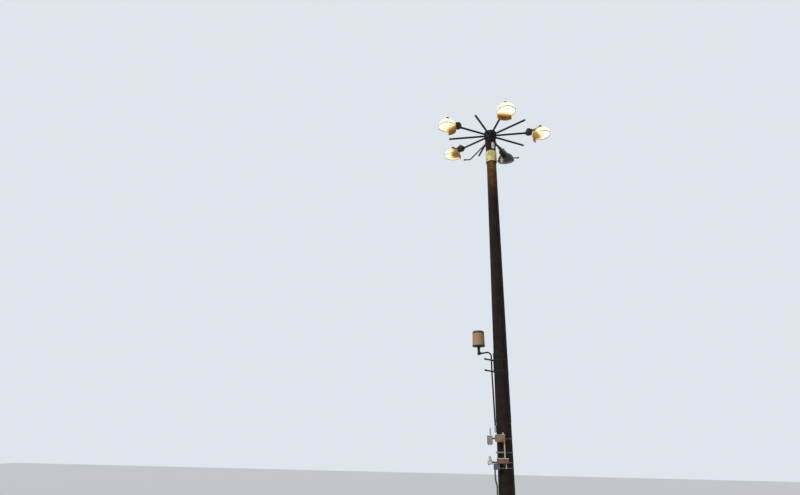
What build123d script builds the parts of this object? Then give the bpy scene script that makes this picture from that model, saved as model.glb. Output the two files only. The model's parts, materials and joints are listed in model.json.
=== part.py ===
"""High mast floodlight tower: a slip-jointed steel mast with a ten-arm lamp head."""
from math import cos, radians, sin
import os

from build123d import *

# Mast: heights are above the underside of the base plate, widths are across flats
mast_sides = 12
arm_height = 24400
head_drop = 865
mast_top = arm_height - head_drop
top_width = 299
taper = 0.0146
joint_high = 15390
joint_low = 7700
overlap_high = 680
overlap_low = 900
wall_upper = 5
wall_middle = 6.5
wall_lower = 8
slip_gap = 0.3
seat_gap = 0.3

# Base plate with its circle of anchor bolt holes
plate_thickness = 50
bolt_count = 12
bolt_circle = 800
bolt_hole = 42
bolt_edge = 62
plate_bore = 380
plate_chamfer = 5

# Hand hole at the foot of the mast
hatch_height = 850
hatch_width = 150
hatch_length = 360
hatch_corner = 60
hatch_rim = 14
hatch_stand = 26
hatch_cover = 6

# Collar sleeve over the mast's top, and its clamp band
collar_lap = 124
collar_height = 379
collar_bottom = mast_top - collar_lap
collar_top = collar_bottom + collar_height
collar_foot_radius = 178
collar_head_radius = 173
collar_shoulder = 12
collar_shelf = 20
shelf_bore = 110
band_height = 24
band_thickness = 12
band_bar = 300
band_bar_height = 16
band_bar_forward = 120
fitting_radius = 40
fitting_waist = 24
fitting_height = 112
fitting_dome = 16
fitting_skirt = 34

# Neck tube between collar and hub, with its oval hand hole
neck_foot_radius = 150
neck_head_radius = 174
neck_wall = 8
neck_hole_width = 104
neck_hole_length = 236
neck_hole_rise = 170
neck_hole_lip = 20
neck_hole_turn = -62
neck_cover = 5

# Hub: a ten-sided drum between two flanges, with a domed cap
arm_count = 10
hub_flat = 174
hub_height = 230
hub_flange = 12
hub_flange_reach = 8
cap_radius = 150
cap_rise = 62
cap_skirt = 24

# Arms: tubes with a square foot plate on each face of the hub
arm_radius = 31.75
arm_wall = 4
arm_foot = 96
arm_foot_thickness = 12
bare_arm_reach = 1354
lamp_arm_reach = 1158
arm_plug = 6

# Lamp: ballast housing at the arm's end, socket arm, glass bell and visor
lamp_count = 5
housing_length = 190
housing_width = 196
housing_below = 66
housing_above = 114
housing_corner = 30
housing_nose = 0.82
housing_swell = 0.3
housing_tail = 0.9
boss_radius = 43
boss_length = 46
seam_overhang = 6
seam_height = 10
seam_thickness = 8
fin_count = 6
fin_thickness = 7
fin_height = 20
fin_marks = (0.14, 0.26, 0.64, 0.8)
fin_root = 0.7
socket_height = 150
lamp_tilt = 3.5
socket_radius = 56
socket_length = 66
socket_dome = 24
socket_draft = 0.86
strap_width = 44
strap_low = 42
strap_high = 94
strap_arch = 14
bell_neck_radius = 52
bell_radius = 278
bell_tuck = 4.3
bell_length = 264
bell_collar = 26
bell_swell = 0.84
bell_swell_drop = 0.46
bell_wall = 6
lens_sag = 84
rim_height = 18
rim_thickness = 7
visor_drop = 118
visor_half_angle = 52

# Cranked bars below the hub, one each side
crank_radius = 21
crank_turn = 4
crank_root_drop = 190
crank_fall = 545
crank_knee_reach = 682
crank_tip_reach = 892
crank_bend = 70
crank_pad_width = 96
crank_pad_height = 128
crank_pad_thickness = 10

# Antenna on its gooseneck at the left of the mast
antenna_reach = 610
radome_radius = 178
radome_draft = 10
radome_height = 426
radome_wall = 4
radome_corner = 52
radome_tray = 30
tray_overhang = 5
stem_radius = 30
stem_flare = 1.5
stem_length = 189
antenna_rise = 1895
tee_height = joint_high + antenna_rise
tee_radius = 44
tee_length = 96
tee_sleeve = 7
goose_radius = 22
goose_wall = 3
goose_lead = 70
goose_rise = 50
goose_bend = 120
goose_offset = 262
goose_foot_drop = 112
coupling_radius = 33
coupling_length = 164
coupling_elbow = 60
bracket_height = 545
bracket_depth = 14
bracket_width = 90
bracket_arm_drops = (206, 523)
bracket_arm_reach = 462
bracket_arm_rise = 52
bracket_arm_size = 42
bracket_knob = 27
bracket_knob_length = 46
strap_band_height = 28
strap_band_thickness = 3

# Equipment boxes near the middle of the mast
rail_drops = (428, 779, 1028, 1168)
rail_lefts = (-450, -240, -440, -312)
rail_rights = (30, 22, 110, 30)
rail_size = 41
rail_depth = 32
cabinet_left = -238
cabinet_below_rail = 89
cabinet_width = 258
cabinet_height = 178
cabinet_depth = 110
cabinet_wall = 3
door_gap = 5.5
door_depth = 22
hinge_offset = 12
hinge_radius = 6
pin_radius = 2.5
pin_clearance = 0.3
lug_height = 12
lug_inset = 16
leaf_thickness = 3
leaf_width = 40
latch_radius = 9
latch_height = 7
latch_inset = 22
side_box_left = -460
side_box_width = 146
side_box_below_rail = 150
side_box_height = 220
side_box_depth = 96
finial_offset = 92
finial_radius = 25
finial_draft = 0.8
finial_base = 62
finial_height = 143
lower_cabinet_left = -226
lower_cabinet_width = 314
lower_cabinet_below_rail = 26
lower_cabinet_height = 122
lower_cabinet_depth = 130
grey_box_left = -316
grey_box_width = 166
grey_box_height = 154
grey_box_depth = 92
unit_reach = -404
unit_width = 124
unit_depth = 78
unit_below_rail = 54
unit_height = 98
hood_radius = 33
hood_length = 114
hood_tilt = 16
box_corner = 12
stub_radius = 19
stub_height = 62
stub_inset = 50
tail_radius = 15
tail_length = 128
tail_x = 18
conduit_radius = 17
conduit_wall = 3
drop_radius = 21
drop_turn = 210
drop_standoff = 46
drop_inset = 34
drop_lead = 250
drop_jog = 150
drop_bend = 110
clamp_count = 6
clamp_width = 36
clamp_height = 30
outlet_height = 700
outlet_width = 70
outlet_length = 150


def upper_width(height):
    """Outer width of the upper section at a height, growing evenly downwards."""
    return top_width + taper * (mast_top - height)


def middle_width(height):
    """Outer width of the middle section, which fills the upper one's bore."""
    return upper_width(height) - 2 * (wall_upper + slip_gap)


def lower_width(height):
    """Outer width of the lower section, which fills the middle one's bore."""
    return middle_width(height) - 2 * (wall_middle + slip_gap)


def mast_face(height):
    """Distance from the axis to the mast's outer flats at a height."""
    if height >= joint_high:
        return upper_width(height) / 2
    if height >= joint_low:
        return middle_width(height) / 2
    return lower_width(height) / 2


def tapered_section(bottom, top, width, wall):
    """Twelve-sided tapered tube between two heights."""
    with BuildPart() as section:
        for height in (bottom, top):
            with BuildSketch(Plane.XY.offset(height)):
                RegularPolygon(width(height) / 2, mast_sides, False, rotation=180 / mast_sides)
        loft(ruled=True)
        for height in (bottom, top):
            with BuildSketch(Plane.XY.offset(height)):
                RegularPolygon(width(height) / 2 - wall, mast_sides, False, rotation=180 / mast_sides)
        loft(ruled=True, mode=Mode.SUBTRACT)
    return section.part


def write(part, label):
    """Name a finished piece and write it to its own file."""
    part.label = label
    export_step(part, f"parts/{label}.step")


os.makedirs("parts", exist_ok=True)

# Base plate
plate_radius = bolt_circle / 2 + bolt_edge
with BuildPart() as base_plate:
    with BuildSketch():
        Circle(plate_radius)
        Circle(plate_bore / 2, mode=Mode.SUBTRACT)
        with PolarLocations(bolt_circle / 2, bolt_count):
            Circle(bolt_hole / 2, mode=Mode.SUBTRACT)
    extrude(amount=plate_thickness)
    chamfer(base_plate.faces().sort_by(Axis.Z)[-1].outer_wire().edges(), plate_chamfer)
write(base_plate.part, "base_plate")

# Lower mast section with its hand hole and rim
hatch_plane = Plane(
    origin=(0, -mast_face(hatch_height), hatch_height), x_dir=(1, 0, 0), z_dir=(0, -1, 0)
)
with BuildPart() as mast_lower:
    add(tapered_section(plate_thickness, joint_low + overlap_low, lower_width, wall_lower))
    with BuildSketch(hatch_plane):
        RectangleRounded(
            hatch_width + 2 * hatch_rim, hatch_length + 2 * hatch_rim, hatch_corner + hatch_rim
        )
    extrude(amount=hatch_stand)
    extrude(mast_lower.faces().sort_by(Axis.Y)[0], amount=-hatch_stand - wall_lower)
    with BuildSketch(hatch_plane.offset(hatch_stand)):
        RectangleRounded(hatch_width, hatch_length, hatch_corner)
    extrude(amount=-hatch_stand - 4 * wall_lower, mode=Mode.SUBTRACT)
write(mast_lower.part, "mast_lower")

with BuildPart() as hatch_cover_plate:
    with BuildSketch(hatch_plane.offset(hatch_stand)):
        RectangleRounded(
            hatch_width + 2 * hatch_rim, hatch_length + 2 * hatch_rim, hatch_corner + hatch_rim
        )
    extrude(amount=hatch_cover)
write(hatch_cover_plate.part, "hatch_cover")

# Middle and upper mast sections
write(tapered_section(joint_low, joint_high + overlap_high, middle_width, wall_middle), "mast_middle")
write(tapered_section(joint_high, mast_top, upper_width, wall_upper), "mast_upper")

# Outline of the neck, which stands in the sleeve and widens up to the hub
hub_bottom = arm_height - hub_height / 2
neck_bottom = mast_top + collar_shelf
neck_hole_height = collar_top + neck_hole_rise
neck_draft = (neck_head_radius - neck_foot_radius) / (hub_bottom - neck_bottom)


def neck_radius(height):
    """Outer radius of the neck at a height."""
    return neck_foot_radius + neck_draft * (height - neck_bottom)


def neck_cone(grow):
    """Solid cone of the neck, its radius made larger by an amount."""
    with BuildPart() as cone:
        with Locations((0, 0, neck_bottom)):
            Cone(neck_foot_radius + grow, neck_head_radius + grow, hub_bottom - neck_bottom,
                 align=(Align.CENTER, Align.CENTER, Align.MIN))
    return cone.part


# Collar sleeve: a tapered cup turned down over the mast's top
corner_radius = upper_width(collar_bottom) / 2 / cos(radians(180 / mast_sides))
with BuildPart() as collar_sleeve:
    with Locations((0, 0, collar_bottom)):
        Cone(collar_foot_radius, collar_head_radius, collar_top - collar_bottom,
             align=(Align.CENTER, Align.CENTER, Align.MIN))
    fillet(collar_sleeve.edges().sort_by(Axis.Z)[-1], collar_shoulder)
    with BuildSketch(Plane.XY.offset(collar_bottom)):
        Circle(corner_radius + slip_gap)
    extrude(amount=mast_top - collar_bottom, mode=Mode.SUBTRACT)
    with BuildSketch(Plane.XY.offset(mast_top)):
        Circle(shelf_bore)
    extrude(amount=collar_shelf, mode=Mode.SUBTRACT)
    add(neck_cone(seat_gap), mode=Mode.SUBTRACT)
write(collar_sleeve.part, "collar_sleeve")

# Clamp band below the sleeve, with a bar to the right that carries a small fitting
band_bottom = collar_bottom - band_height
band_radius = upper_width(band_bottom) / 2 / cos(radians(180 / mast_sides)) + seat_gap
band_middle = collar_bottom - band_height / 2
with BuildPart() as collar_band:
    with BuildSketch(Plane.XY.offset(band_bottom)):
        Circle(band_radius + band_thickness)
    extrude(amount=band_height)
    with BuildSketch(Plane.YZ):
        with Locations((-band_bar_forward, band_middle)):
            RectangleRounded(band_bar_height, band_bar_height, band_bar_height / 4)
    extrude(amount=band_bar)
    with BuildSketch(Plane.XY.offset(band_bottom)):
        Circle(band_radius)
    extrude(amount=band_height, mode=Mode.SUBTRACT)
write(collar_band.part, "collar_band")

# Fitting at the bar's end: a waisted round body with a skirt and a domed top
fitting_sphere = (fitting_radius ** 2 + fitting_dome ** 2) / (2 * fitting_dome)
with BuildPart() as fitting:
    with BuildSketch(Plane.XZ):
        with BuildLine():
            Polyline((0, -fitting_height / 2), (fitting_radius, -fitting_height / 2),
                     (fitting_waist, fitting_skirt - fitting_height / 2),
                     (fitting_waist, band_bar_height), (fitting_radius, fitting_skirt),
                     (fitting_radius, fitting_height / 2 - fitting_dome))
            RadiusArc((fitting_radius, fitting_height / 2 - fitting_dome), (0, fitting_height / 2),
                      -fitting_sphere)
            Line((0, fitting_height / 2), (0, -fitting_height / 2))
        make_face()
    revolve(axis=Axis.Z)
with BuildPart() as band_fitting:
    with Locations((band_bar + seat_gap + fitting_waist, -band_bar_forward, band_middle)):
        add(fitting.part)
write(band_fitting.part, "band_fitting")

# Neck tube from the sleeve's inner shelf, widening up to the hub
neck_face = Plane(
    origin=(0, 0, neck_hole_height),
    x_dir=(-sin(radians(neck_hole_turn)), cos(radians(neck_hole_turn)), 0),
    z_dir=(cos(radians(neck_hole_turn)), sin(radians(neck_hole_turn)), 0),
)
with BuildPart() as neck_tube:
    add(neck_cone(0))
    add(neck_cone(-neck_wall), mode=Mode.SUBTRACT)
    with BuildSketch(neck_face):
        SlotOverall(neck_hole_length - 2 * neck_hole_lip, neck_hole_width - 2 * neck_hole_lip, rotation=90)
    extrude(amount=neck_head_radius * 2, mode=Mode.SUBTRACT)
write(neck_tube.part, "neck_tube")

# Oval cover curved to the neck
with BuildPart() as neck_cover_plate:
    add(neck_cone(seat_gap + neck_cover))
    add(neck_cone(seat_gap), mode=Mode.SUBTRACT)
    with BuildSketch(neck_face):
        SlotOverall(neck_hole_length, neck_hole_width, rotation=90)
    extrude(amount=neck_head_radius * 2, mode=Mode.INTERSECT)
write(neck_cover_plate.part, "neck_cover")

# Hub drum: ten flat faces between two round flanges
hub_corner = hub_flat / cos(radians(180 / arm_count))
hub_top = hub_bottom + hub_height
with BuildPart() as hub_drum:
    with BuildSketch(Plane.XY.offset(hub_bottom)):
        RegularPolygon(hub_flat, arm_count, False, rotation=180 / arm_count)
    extrude(amount=hub_height)
    with BuildSketch(Plane.XY.offset(hub_bottom), Plane.XY.offset(hub_top - hub_flange)):
        Circle(hub_corner + hub_flange_reach)
    extrude(amount=hub_flange)
write(hub_drum.part, "hub_drum")

# Domed cap on the hub
cap_sphere = (cap_radius ** 2 + cap_rise ** 2) / (2 * cap_rise)
with BuildPart() as hub_cap:
    with BuildSketch(Plane.XZ):
        with BuildLine():
            Line((0, hub_top), (cap_radius, hub_top))
            Line((cap_radius, hub_top), (cap_radius, hub_top + cap_skirt))
            RadiusArc((cap_radius, hub_top + cap_skirt), (0, hub_top + cap_skirt + cap_rise), -cap_sphere)
            Line((0, hub_top + cap_skirt + cap_rise), (0, hub_top))
        make_face()
    revolve(axis=Axis.Z)
write(hub_cap.part, "hub_cap")


def arm(reach, plug):
    """Tube from the hub's face out along +X, with its square foot plate."""
    with BuildPart() as tube:
        with BuildSketch(Plane.YZ.offset(hub_flat)):
            RectangleRounded(arm_foot, arm_foot, arm_foot / 8)
        extrude(amount=arm_foot_thickness)
        with BuildSketch(Plane.YZ.offset(hub_flat + arm_foot_thickness)):
            Circle(arm_radius)
            Circle(arm_radius - arm_wall, mode=Mode.SUBTRACT)
        extrude(amount=reach - hub_flat - arm_foot_thickness)
        if plug:
            with BuildSketch(Plane.YZ.offset(reach - arm_plug)):
                Circle(arm_radius - arm_wall / 2)
            extrude(amount=arm_plug)
    return tube.part


arm_step = 360 / lamp_count
bare_start = 180 / lamp_count
with BuildPart() as bare_arms:
    with Locations(*[Location((0, 0, arm_height), (0, 0, bare_start + arm_step * n))
                     for n in range(lamp_count)]):
        add(arm(bare_arm_reach, True))
write(bare_arms.part, "bare_arms")

with BuildPart() as lamp_arms:
    with Locations(*[Location((0, 0, arm_height), (0, 0, arm_step * n)) for n in range(lamp_count)]):
        add(arm(lamp_arm_reach, False))
write(lamp_arms.part, "lamp_arms")

# Ballast housing: a cast box with a slip fitter, a parting flange and cooling fins, along +X
housing_start = lamp_arm_reach + seat_gap
housing_end = housing_start + housing_length
housing_tall = housing_above + housing_below
housing_stations = ((0, housing_nose), (housing_swell, 1), (1, housing_tail))
fin_pitch = (housing_width - 2 * housing_corner) / (fin_count - 1)
with BuildPart() as housing:
    for station, share in housing_stations:
        with BuildSketch(Plane.YZ.offset(housing_start + housing_length * station)):
            with Locations((0, (housing_above - housing_below) / 2)):
                RectangleRounded(housing_width * share, housing_tall * share, housing_corner)
    loft(ruled=True)
    with BuildSketch(Plane.XY.offset(seam_height)):
        with BuildLine():
            outer_side = [(housing_start + housing_length * station, housing_width * share / 2 + seam_overhang)
                          for station, share in housing_stations]
            Polyline(*outer_side, *[(x, -y) for x, y in reversed(outer_side)], close=True)
        make_face()
    extrude(amount=seam_thickness)
    with BuildSketch(Plane.YZ.offset(housing_start)):
        Circle(boss_radius)
    extrude(amount=-boss_length)
    with BuildSketch(Plane.YZ.offset(housing_start)):
        Circle(arm_radius + seat_gap)
    extrude(amount=-boss_length, mode=Mode.SUBTRACT)
    fin_levels = (housing_above * fin_root, housing_above + fin_height,
                  housing_above + fin_height, housing_above * fin_root)
    with BuildSketch(Plane.XZ, mode=Mode.PRIVATE) as fin_profile:
        with BuildLine():
            Polyline(*[(housing_start + housing_length * mark, level)
                       for mark, level in zip(fin_marks, fin_levels)], close=True)
        make_face()
    for n in range(fin_count):
        across = (n - (fin_count - 1) / 2) * fin_pitch
        extrude(fin_profile.sketch.moved(Location((0, across + fin_thickness / 2, 0))), amount=fin_thickness)

# Socket cap and the arched strap that carries it from the housing
# The bell's mouth reaches back under the housing's end by the tuck, and that sets the lamp's axis
socket_reach = housing_end + bell_radius - bell_tuck
lamp_axis = Plane(
    origin=(socket_reach, 0, socket_height),
    x_dir=(cos(radians(lamp_tilt)), 0, sin(radians(lamp_tilt))),
    z_dir=(-sin(radians(lamp_tilt)), 0, cos(radians(lamp_tilt))),
)
lamp_side = Plane(origin=lamp_axis.origin, x_dir=lamp_axis.x_dir, z_dir=-lamp_axis.y_dir)
shoulder = socket_radius * socket_draft
cap_curve = (shoulder ** 2 + socket_dome ** 2) / (2 * socket_dome)
strap_end = socket_reach - socket_radius / 2
with BuildPart() as socket:
    with BuildSketch(lamp_side):
        with BuildLine():
            Line((0, 0), (socket_radius, 0))
            Line((socket_radius, 0), (shoulder, socket_length))
            RadiusArc((shoulder, socket_length), (0, socket_length + socket_dome), -cap_curve)
            Line((0, socket_length + socket_dome), (0, 0))
        make_face()
    revolve(axis=Axis(lamp_axis.origin, lamp_axis.z_dir))
    with BuildSketch(Plane.XZ):
        with BuildLine():
            Line((housing_end, strap_low), (housing_end, strap_high))
            SagittaArc((housing_end, strap_high), (strap_end, socket_height + socket_length), -strap_arch)
            Line((strap_end, socket_height + socket_length), (strap_end, socket_height + socket_dome))
            SagittaArc((strap_end, socket_height + socket_dome), (housing_end, strap_low), strap_arch)
        make_face()
    extrude(amount=strap_width / 2, both=True)

# Glass bell: neck, flared wall and drop lens, one closed shell about the tilted axis
bell_tangents = ((1, -0.1), (0.08, -1))
with BuildPart() as bell:
    for inset, mode in ((0, Mode.ADD), (bell_wall, Mode.SUBTRACT)):
        neck = bell_neck_radius - inset
        mouth = bell_radius - inset
        top = -seat_gap - inset
        bottom = -bell_length - lens_sag + inset
        with BuildSketch(lamp_side):
            with BuildLine():
                Line((0, top), (neck, top))
                Line((neck, top), (neck, -bell_collar))
                Spline((neck, -bell_collar), (mouth * bell_swell, -bell_length * bell_swell_drop),
                       (mouth, -bell_length), tangents=bell_tangents)
                RadiusArc((mouth, -bell_length), (0, bottom),
                          (mouth ** 2 + (bottom + bell_length) ** 2) / (-2 * (bottom + bell_length)))
                Line((0, bottom), (0, top))
            make_face()
        revolve(axis=Axis(lamp_axis.origin, lamp_axis.z_dir), mode=mode)

# Rim ring round the bell's mouth, with a visor hanging below it on the hub side
ring_bore = bell_radius + seat_gap
with BuildPart() as visor:
    with BuildSketch(lamp_axis.offset(-bell_length - rim_height)):
        Circle(ring_bore + rim_thickness)
        Circle(ring_bore, mode=Mode.SUBTRACT)
    extrude(amount=rim_height)
    with BuildSketch(lamp_axis.offset(-bell_length - rim_height)):
        Circle(ring_bore + rim_thickness)
        Circle(ring_bore + rim_thickness / 2, mode=Mode.SUBTRACT)
        with BuildLine():
            reach = 2 * ring_bore
            side = (-reach * cos(radians(visor_half_angle)), reach * sin(radians(visor_half_angle)))
            Polyline((0, 0), side, (reach, reach), (reach, -reach), (side[0], -side[1]), close=True)
        make_face(mode=Mode.SUBTRACT)
    extrude(amount=-visor_drop)

# The five lamps, one on every second arm
for n in range(lamp_count):
    place = Location((0, 0, arm_height), (0, 0, arm_step * n))
    for prototype, name in (
        (housing, "ballast_housing"),
        (socket, "socket_arm"),
        (bell, "glass_bell"),
        (visor, "rim_and_visor"),
    ):
        with BuildPart() as lamp_piece:
            with Locations(place):
                add(prototype.part)
        write(lamp_piece.part, f"lamp_{n + 1}_{name}")


crank_root = Vector(neck_radius(hub_bottom - crank_root_drop), 0, hub_bottom - crank_root_drop)
crank_knee = Vector(crank_knee_reach, 0, crank_root.Z - crank_fall)
crank_tip = Vector(crank_tip_reach, 0, crank_knee.Z)


def cranked_bar(turn):
    """Round bar down from the neck at a slant, cranked level near its end."""
    start = crank_root + (crank_root - crank_knee).normalized() * 2 * crank_radius
    with BuildPart() as bar:
        with BuildLine() as path:
            FilletPolyline(start, crank_knee, crank_tip, radius=crank_bend)
        with BuildSketch(Plane(path.line @ 0, z_dir=path.line % 0)):
            Circle(crank_radius)
        sweep()
        with BuildSketch(Plane.YZ.offset(crank_root.X - crank_pad_thickness)):
            with Locations((0, crank_root.Z)):
                RectangleRounded(crank_pad_width, crank_pad_height, crank_pad_width / 8)
        extrude(amount=2 * crank_pad_thickness)
        add(neck_cone(seat_gap), mode=Mode.SUBTRACT)
    with BuildPart() as placed:
        with Locations(Location((0, 0, 0), (0, 0, turn))):
            add(bar.part)
    return placed.part


write(cranked_bar(crank_turn), "cranked_bar_right")
write(cranked_bar(180 + crank_turn), "cranked_bar_left")

# Antenna radome: a closed round-topped shell, on a tray with its stem and tee
tray_bottom = tee_height + stem_length
radome_bottom = tray_bottom + radome_tray
with BuildPart() as radome:
    with Locations((-antenna_reach, 0, radome_bottom)):
        Cone(radome_radius, radome_radius - radome_draft, radome_height,
             align=(Align.CENTER, Align.CENTER, Align.MIN))
    fillet(radome.edges().sort_by(Axis.Z)[-1], radome_corner)
    offset(amount=-radome_wall, openings=radome.faces().sort_by(Axis.Z)[0])
write(radome.part, "antenna_radome")

with BuildPart() as antenna_base:
    with Locations((-antenna_reach, 0, radome_bottom)):
        Cylinder(radome_radius + tray_overhang, radome_tray, align=(Align.CENTER, Align.CENTER, Align.MAX))
    fillet(antenna_base.edges().sort_by(Axis.Z)[0], radome_tray / 2)
    with Locations((-antenna_reach, 0, tee_height)):
        Cone(stem_radius, stem_radius * stem_flare, stem_length,
             align=(Align.CENTER, Align.CENTER, Align.MIN))
    with Locations((-antenna_reach, 0, tee_height)):
        Cylinder(tee_radius, tee_length, align=(Align.CENTER, Align.CENTER, Align.CENTER))
    with BuildSketch(Plane.YZ.offset(-antenna_reach)):
        with Locations((0, tee_height)):
            Circle(goose_radius + tee_sleeve)
    extrude(amount=tee_radius + goose_radius * 2)
    with BuildSketch(Plane.YZ.offset(-antenna_reach + tee_radius)):
        with Locations((0, tee_height)):
            Circle(goose_radius + seat_gap)
    extrude(amount=tee_radius + goose_radius * 3, mode=Mode.SUBTRACT)
write(antenna_base.part, "antenna_base")

# Gooseneck pipe from the tee, over and down beside the mast
goose_stand = mast_face(joint_high) + goose_radius + seat_gap
goose_foot = joint_high - goose_foot_drop
bracket_bottom = tee_height - bracket_height
with BuildPart() as goose:
    with BuildLine() as goose_path:
        FilletPolyline(
            (-antenna_reach + tee_radius, 0, tee_height),
            (-antenna_reach + tee_radius + goose_lead, 0, tee_height),
            (-goose_offset, 0, tee_height + goose_rise),
            (-goose_offset, 0, bracket_bottom),
            (-goose_stand, 0, goose_foot),
            radius=[goose_bend, goose_bend, goose_bend],
        )
    with BuildSketch(Plane(goose_path.line @ 0, z_dir=goose_path.line % 0)):
        Circle(goose_radius)
        Circle(goose_radius - goose_wall, mode=Mode.SUBTRACT)
    sweep()
write(goose.part, "antenna_pipe")

# White coupling at the pipe's foot, where its cable turns in through the mast's face
coupling_foot = goose_foot - coupling_length
coupling_face = mast_face(coupling_foot) + seat_gap
with BuildPart() as coupling:
    with Locations((-coupling_face - coupling_radius, 0, coupling_foot)):
        Cylinder(coupling_radius, coupling_length - 3 * seat_gap,
                 align=(Align.CENTER, Align.CENTER, Align.MIN))
    fillet(coupling.edges().sort_by(Axis.Z)[0], coupling_radius / 2)
    fillet(coupling.edges().filter_by(GeomType.CIRCLE).sort_by(Axis.Z)[-1], coupling_radius / 5)
    with BuildSketch(Plane.YZ.offset(-coupling_face)):
        with Locations((0, coupling_foot + coupling_elbow)):
            Circle(coupling_radius * 0.7)
    extrude(amount=-coupling_radius)
write(coupling.part, "pipe_coupling")

# Bracket: a channel on the mast's left face, two arms behind the pipe and their straps
with BuildPart() as antenna_bracket:
    with BuildSketch(Plane.XZ):
        with BuildLine():
            Polyline(
                (-mast_face(tee_height) - seat_gap, tee_height),
                (-mast_face(bracket_bottom) - seat_gap, bracket_bottom),
                (-mast_face(bracket_bottom) - bracket_depth, bracket_bottom),
                (-mast_face(tee_height) - bracket_depth, tee_height),
                close=True,
            )
        make_face()
    extrude(amount=bracket_width / 2, both=True)
    arm_back = goose_radius + seat_gap + bracket_arm_size / 2
    for drop in bracket_arm_drops:
        height = tee_height - drop
        root = Vector(-mast_face(height) - bracket_depth / 2, arm_back, height)
        tip = Vector(-bracket_arm_reach, arm_back, height + bracket_arm_rise)
        along = (tip - root).normalized()
        with BuildSketch(Plane(origin=root, x_dir=(0, 1, 0), z_dir=along)):
            RectangleRounded(bracket_arm_size, bracket_arm_size, bracket_arm_size / 8)
        extrude(amount=(tip - root).length)
        with BuildSketch(Plane(origin=tip, x_dir=(0, 1, 0), z_dir=along)):
            Circle(bracket_knob)
        extrude(amount=-bracket_knob_length)
        with BuildSketch(Plane.XY.offset(height - strap_band_height / 2)):
            strap_flat = mast_face(height - strap_band_height / 2) + seat_gap
            RegularPolygon(strap_flat + strap_band_thickness, mast_sides, False, rotation=180 / mast_sides)
            RegularPolygon(strap_flat, mast_sides, False, rotation=180 / mast_sides, mode=Mode.SUBTRACT)
        extrude(amount=strap_band_height)
write(antenna_bracket.part, "antenna_bracket")

# Rails on the mast's front face, each with a strap round the mast
rail_heights = [joint_high - drop for drop in rail_drops]
with BuildPart() as rails:
    for height, left, right in zip(rail_heights, rail_lefts, rail_rights):
        rail_back = -mast_face(height - rail_size / 2) - seat_gap
        with BuildSketch(Plane.XY.offset(height - rail_size / 2)):
            with Locations(((left + right) / 2, rail_back)):
                Rectangle(right - left, rail_depth, align=(Align.CENTER, Align.MAX))
        extrude(amount=rail_size)
        with BuildSketch(Plane.XY.offset(height - strap_band_height / 2)):
            strap_flat = -rail_back
            RegularPolygon(strap_flat + strap_band_thickness, mast_sides, False, rotation=180 / mast_sides)
            RegularPolygon(strap_flat, mast_sides, False, rotation=180 / mast_sides, mode=Mode.SUBTRACT)
        extrude(amount=strap_band_height)
write(rails.part, "equipment_rails")


def box_face(height):
    """Front plane of the rail at a height, where a box's back is fixed."""
    return -mast_face(height - rail_size / 2) - seat_gap - rail_depth


def rounded_box(left, width, bottom, height, depth, back):
    """Closed housing with rounded upright edges, standing off the rail towards -Y."""
    with BuildPart() as box:
        with BuildSketch(Plane.XY.offset(bottom)):
            with Locations((left + width / 2, back - depth / 2)):
                RectangleRounded(width, depth, box_corner)
        extrude(amount=height)
        chamfer(box.faces().group_by(Axis.Z)[-1].edges(), box_corner / 4)
    return box.part


# Small box at the left with its finial
upper_back = box_face(rail_heights[0])
side_box_bottom = rail_heights[0] - side_box_below_rail
with BuildPart() as side_box:
    add(rounded_box(side_box_left, side_box_width, side_box_bottom, side_box_height, side_box_depth,
                    upper_back))
    finial_at = (side_box_left + finial_offset, upper_back - side_box_depth / 2)
    finial_foot = side_box_bottom + side_box_height
    with Locations((*finial_at, finial_foot)):
        Cylinder(finial_radius * 0.75, finial_base, align=(Align.CENTER, Align.CENTER, Align.MIN))
    with Locations((*finial_at, finial_foot + finial_base)):
        Cone(finial_radius, finial_radius * finial_draft, finial_height,
             align=(Align.CENTER, Align.CENTER, Align.MIN))
write(side_box.part, "side_box")

# Upper cabinet: an open-fronted box
cabinet_bottom = rail_heights[0] - cabinet_below_rail
cabinet_right = cabinet_left + cabinet_width
cabinet_top = cabinet_bottom + cabinet_height
cabinet_front = upper_back - cabinet_depth
with BuildPart() as cabinet:
    with Locations((cabinet_left + cabinet_width / 2, upper_back - cabinet_depth / 2, cabinet_bottom)):
        Box(cabinet_width, cabinet_depth, cabinet_height, align=(Align.CENTER, Align.CENTER, Align.MIN))
    offset(amount=-cabinet_wall, openings=cabinet.faces().sort_by(Axis.Y)[0])
write(cabinet.part, "upper_cabinet")

# Fixed half of its hinge: a leaf on the box's left side, two lugs and the pin between them
door_back = cabinet_front - door_gap
hinge_x = cabinet_left - hinge_offset
hinge_y = door_back - door_depth / 2
lug_levels = (cabinet_bottom + lug_inset, cabinet_top - lug_inset - lug_height)
lug_span = lug_levels[1] + lug_height - lug_levels[0]
with BuildPart() as hinge:
    with BuildSketch(Plane.XY.offset(lug_levels[0])):
        with Locations((cabinet_left, cabinet_front)):
            Rectangle(leaf_thickness, leaf_width, align=(Align.MAX, Align.MIN))
    extrude(amount=lug_span)
    for level in lug_levels:
        with BuildSketch(Plane.XY.offset(level)):
            with Locations((hinge_x, hinge_y)):
                Circle(hinge_radius)
                Rectangle(2 * hinge_radius, cabinet_front + hinge_radius * 2 - hinge_y,
                          align=(Align.CENTER, Align.MIN))
            with Locations((hinge_x - hinge_radius, cabinet_front)):
                Rectangle(hinge_offset + hinge_radius, hinge_radius * 2, align=(Align.MIN, Align.MIN))
        extrude(amount=lug_height)
    with BuildSketch(Plane.XY.offset(lug_levels[0])):
        with Locations((hinge_x, hinge_y)):
            Circle(pin_radius)
    extrude(amount=lug_span)
write(hinge.part, "cabinet_hinge")

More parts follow.
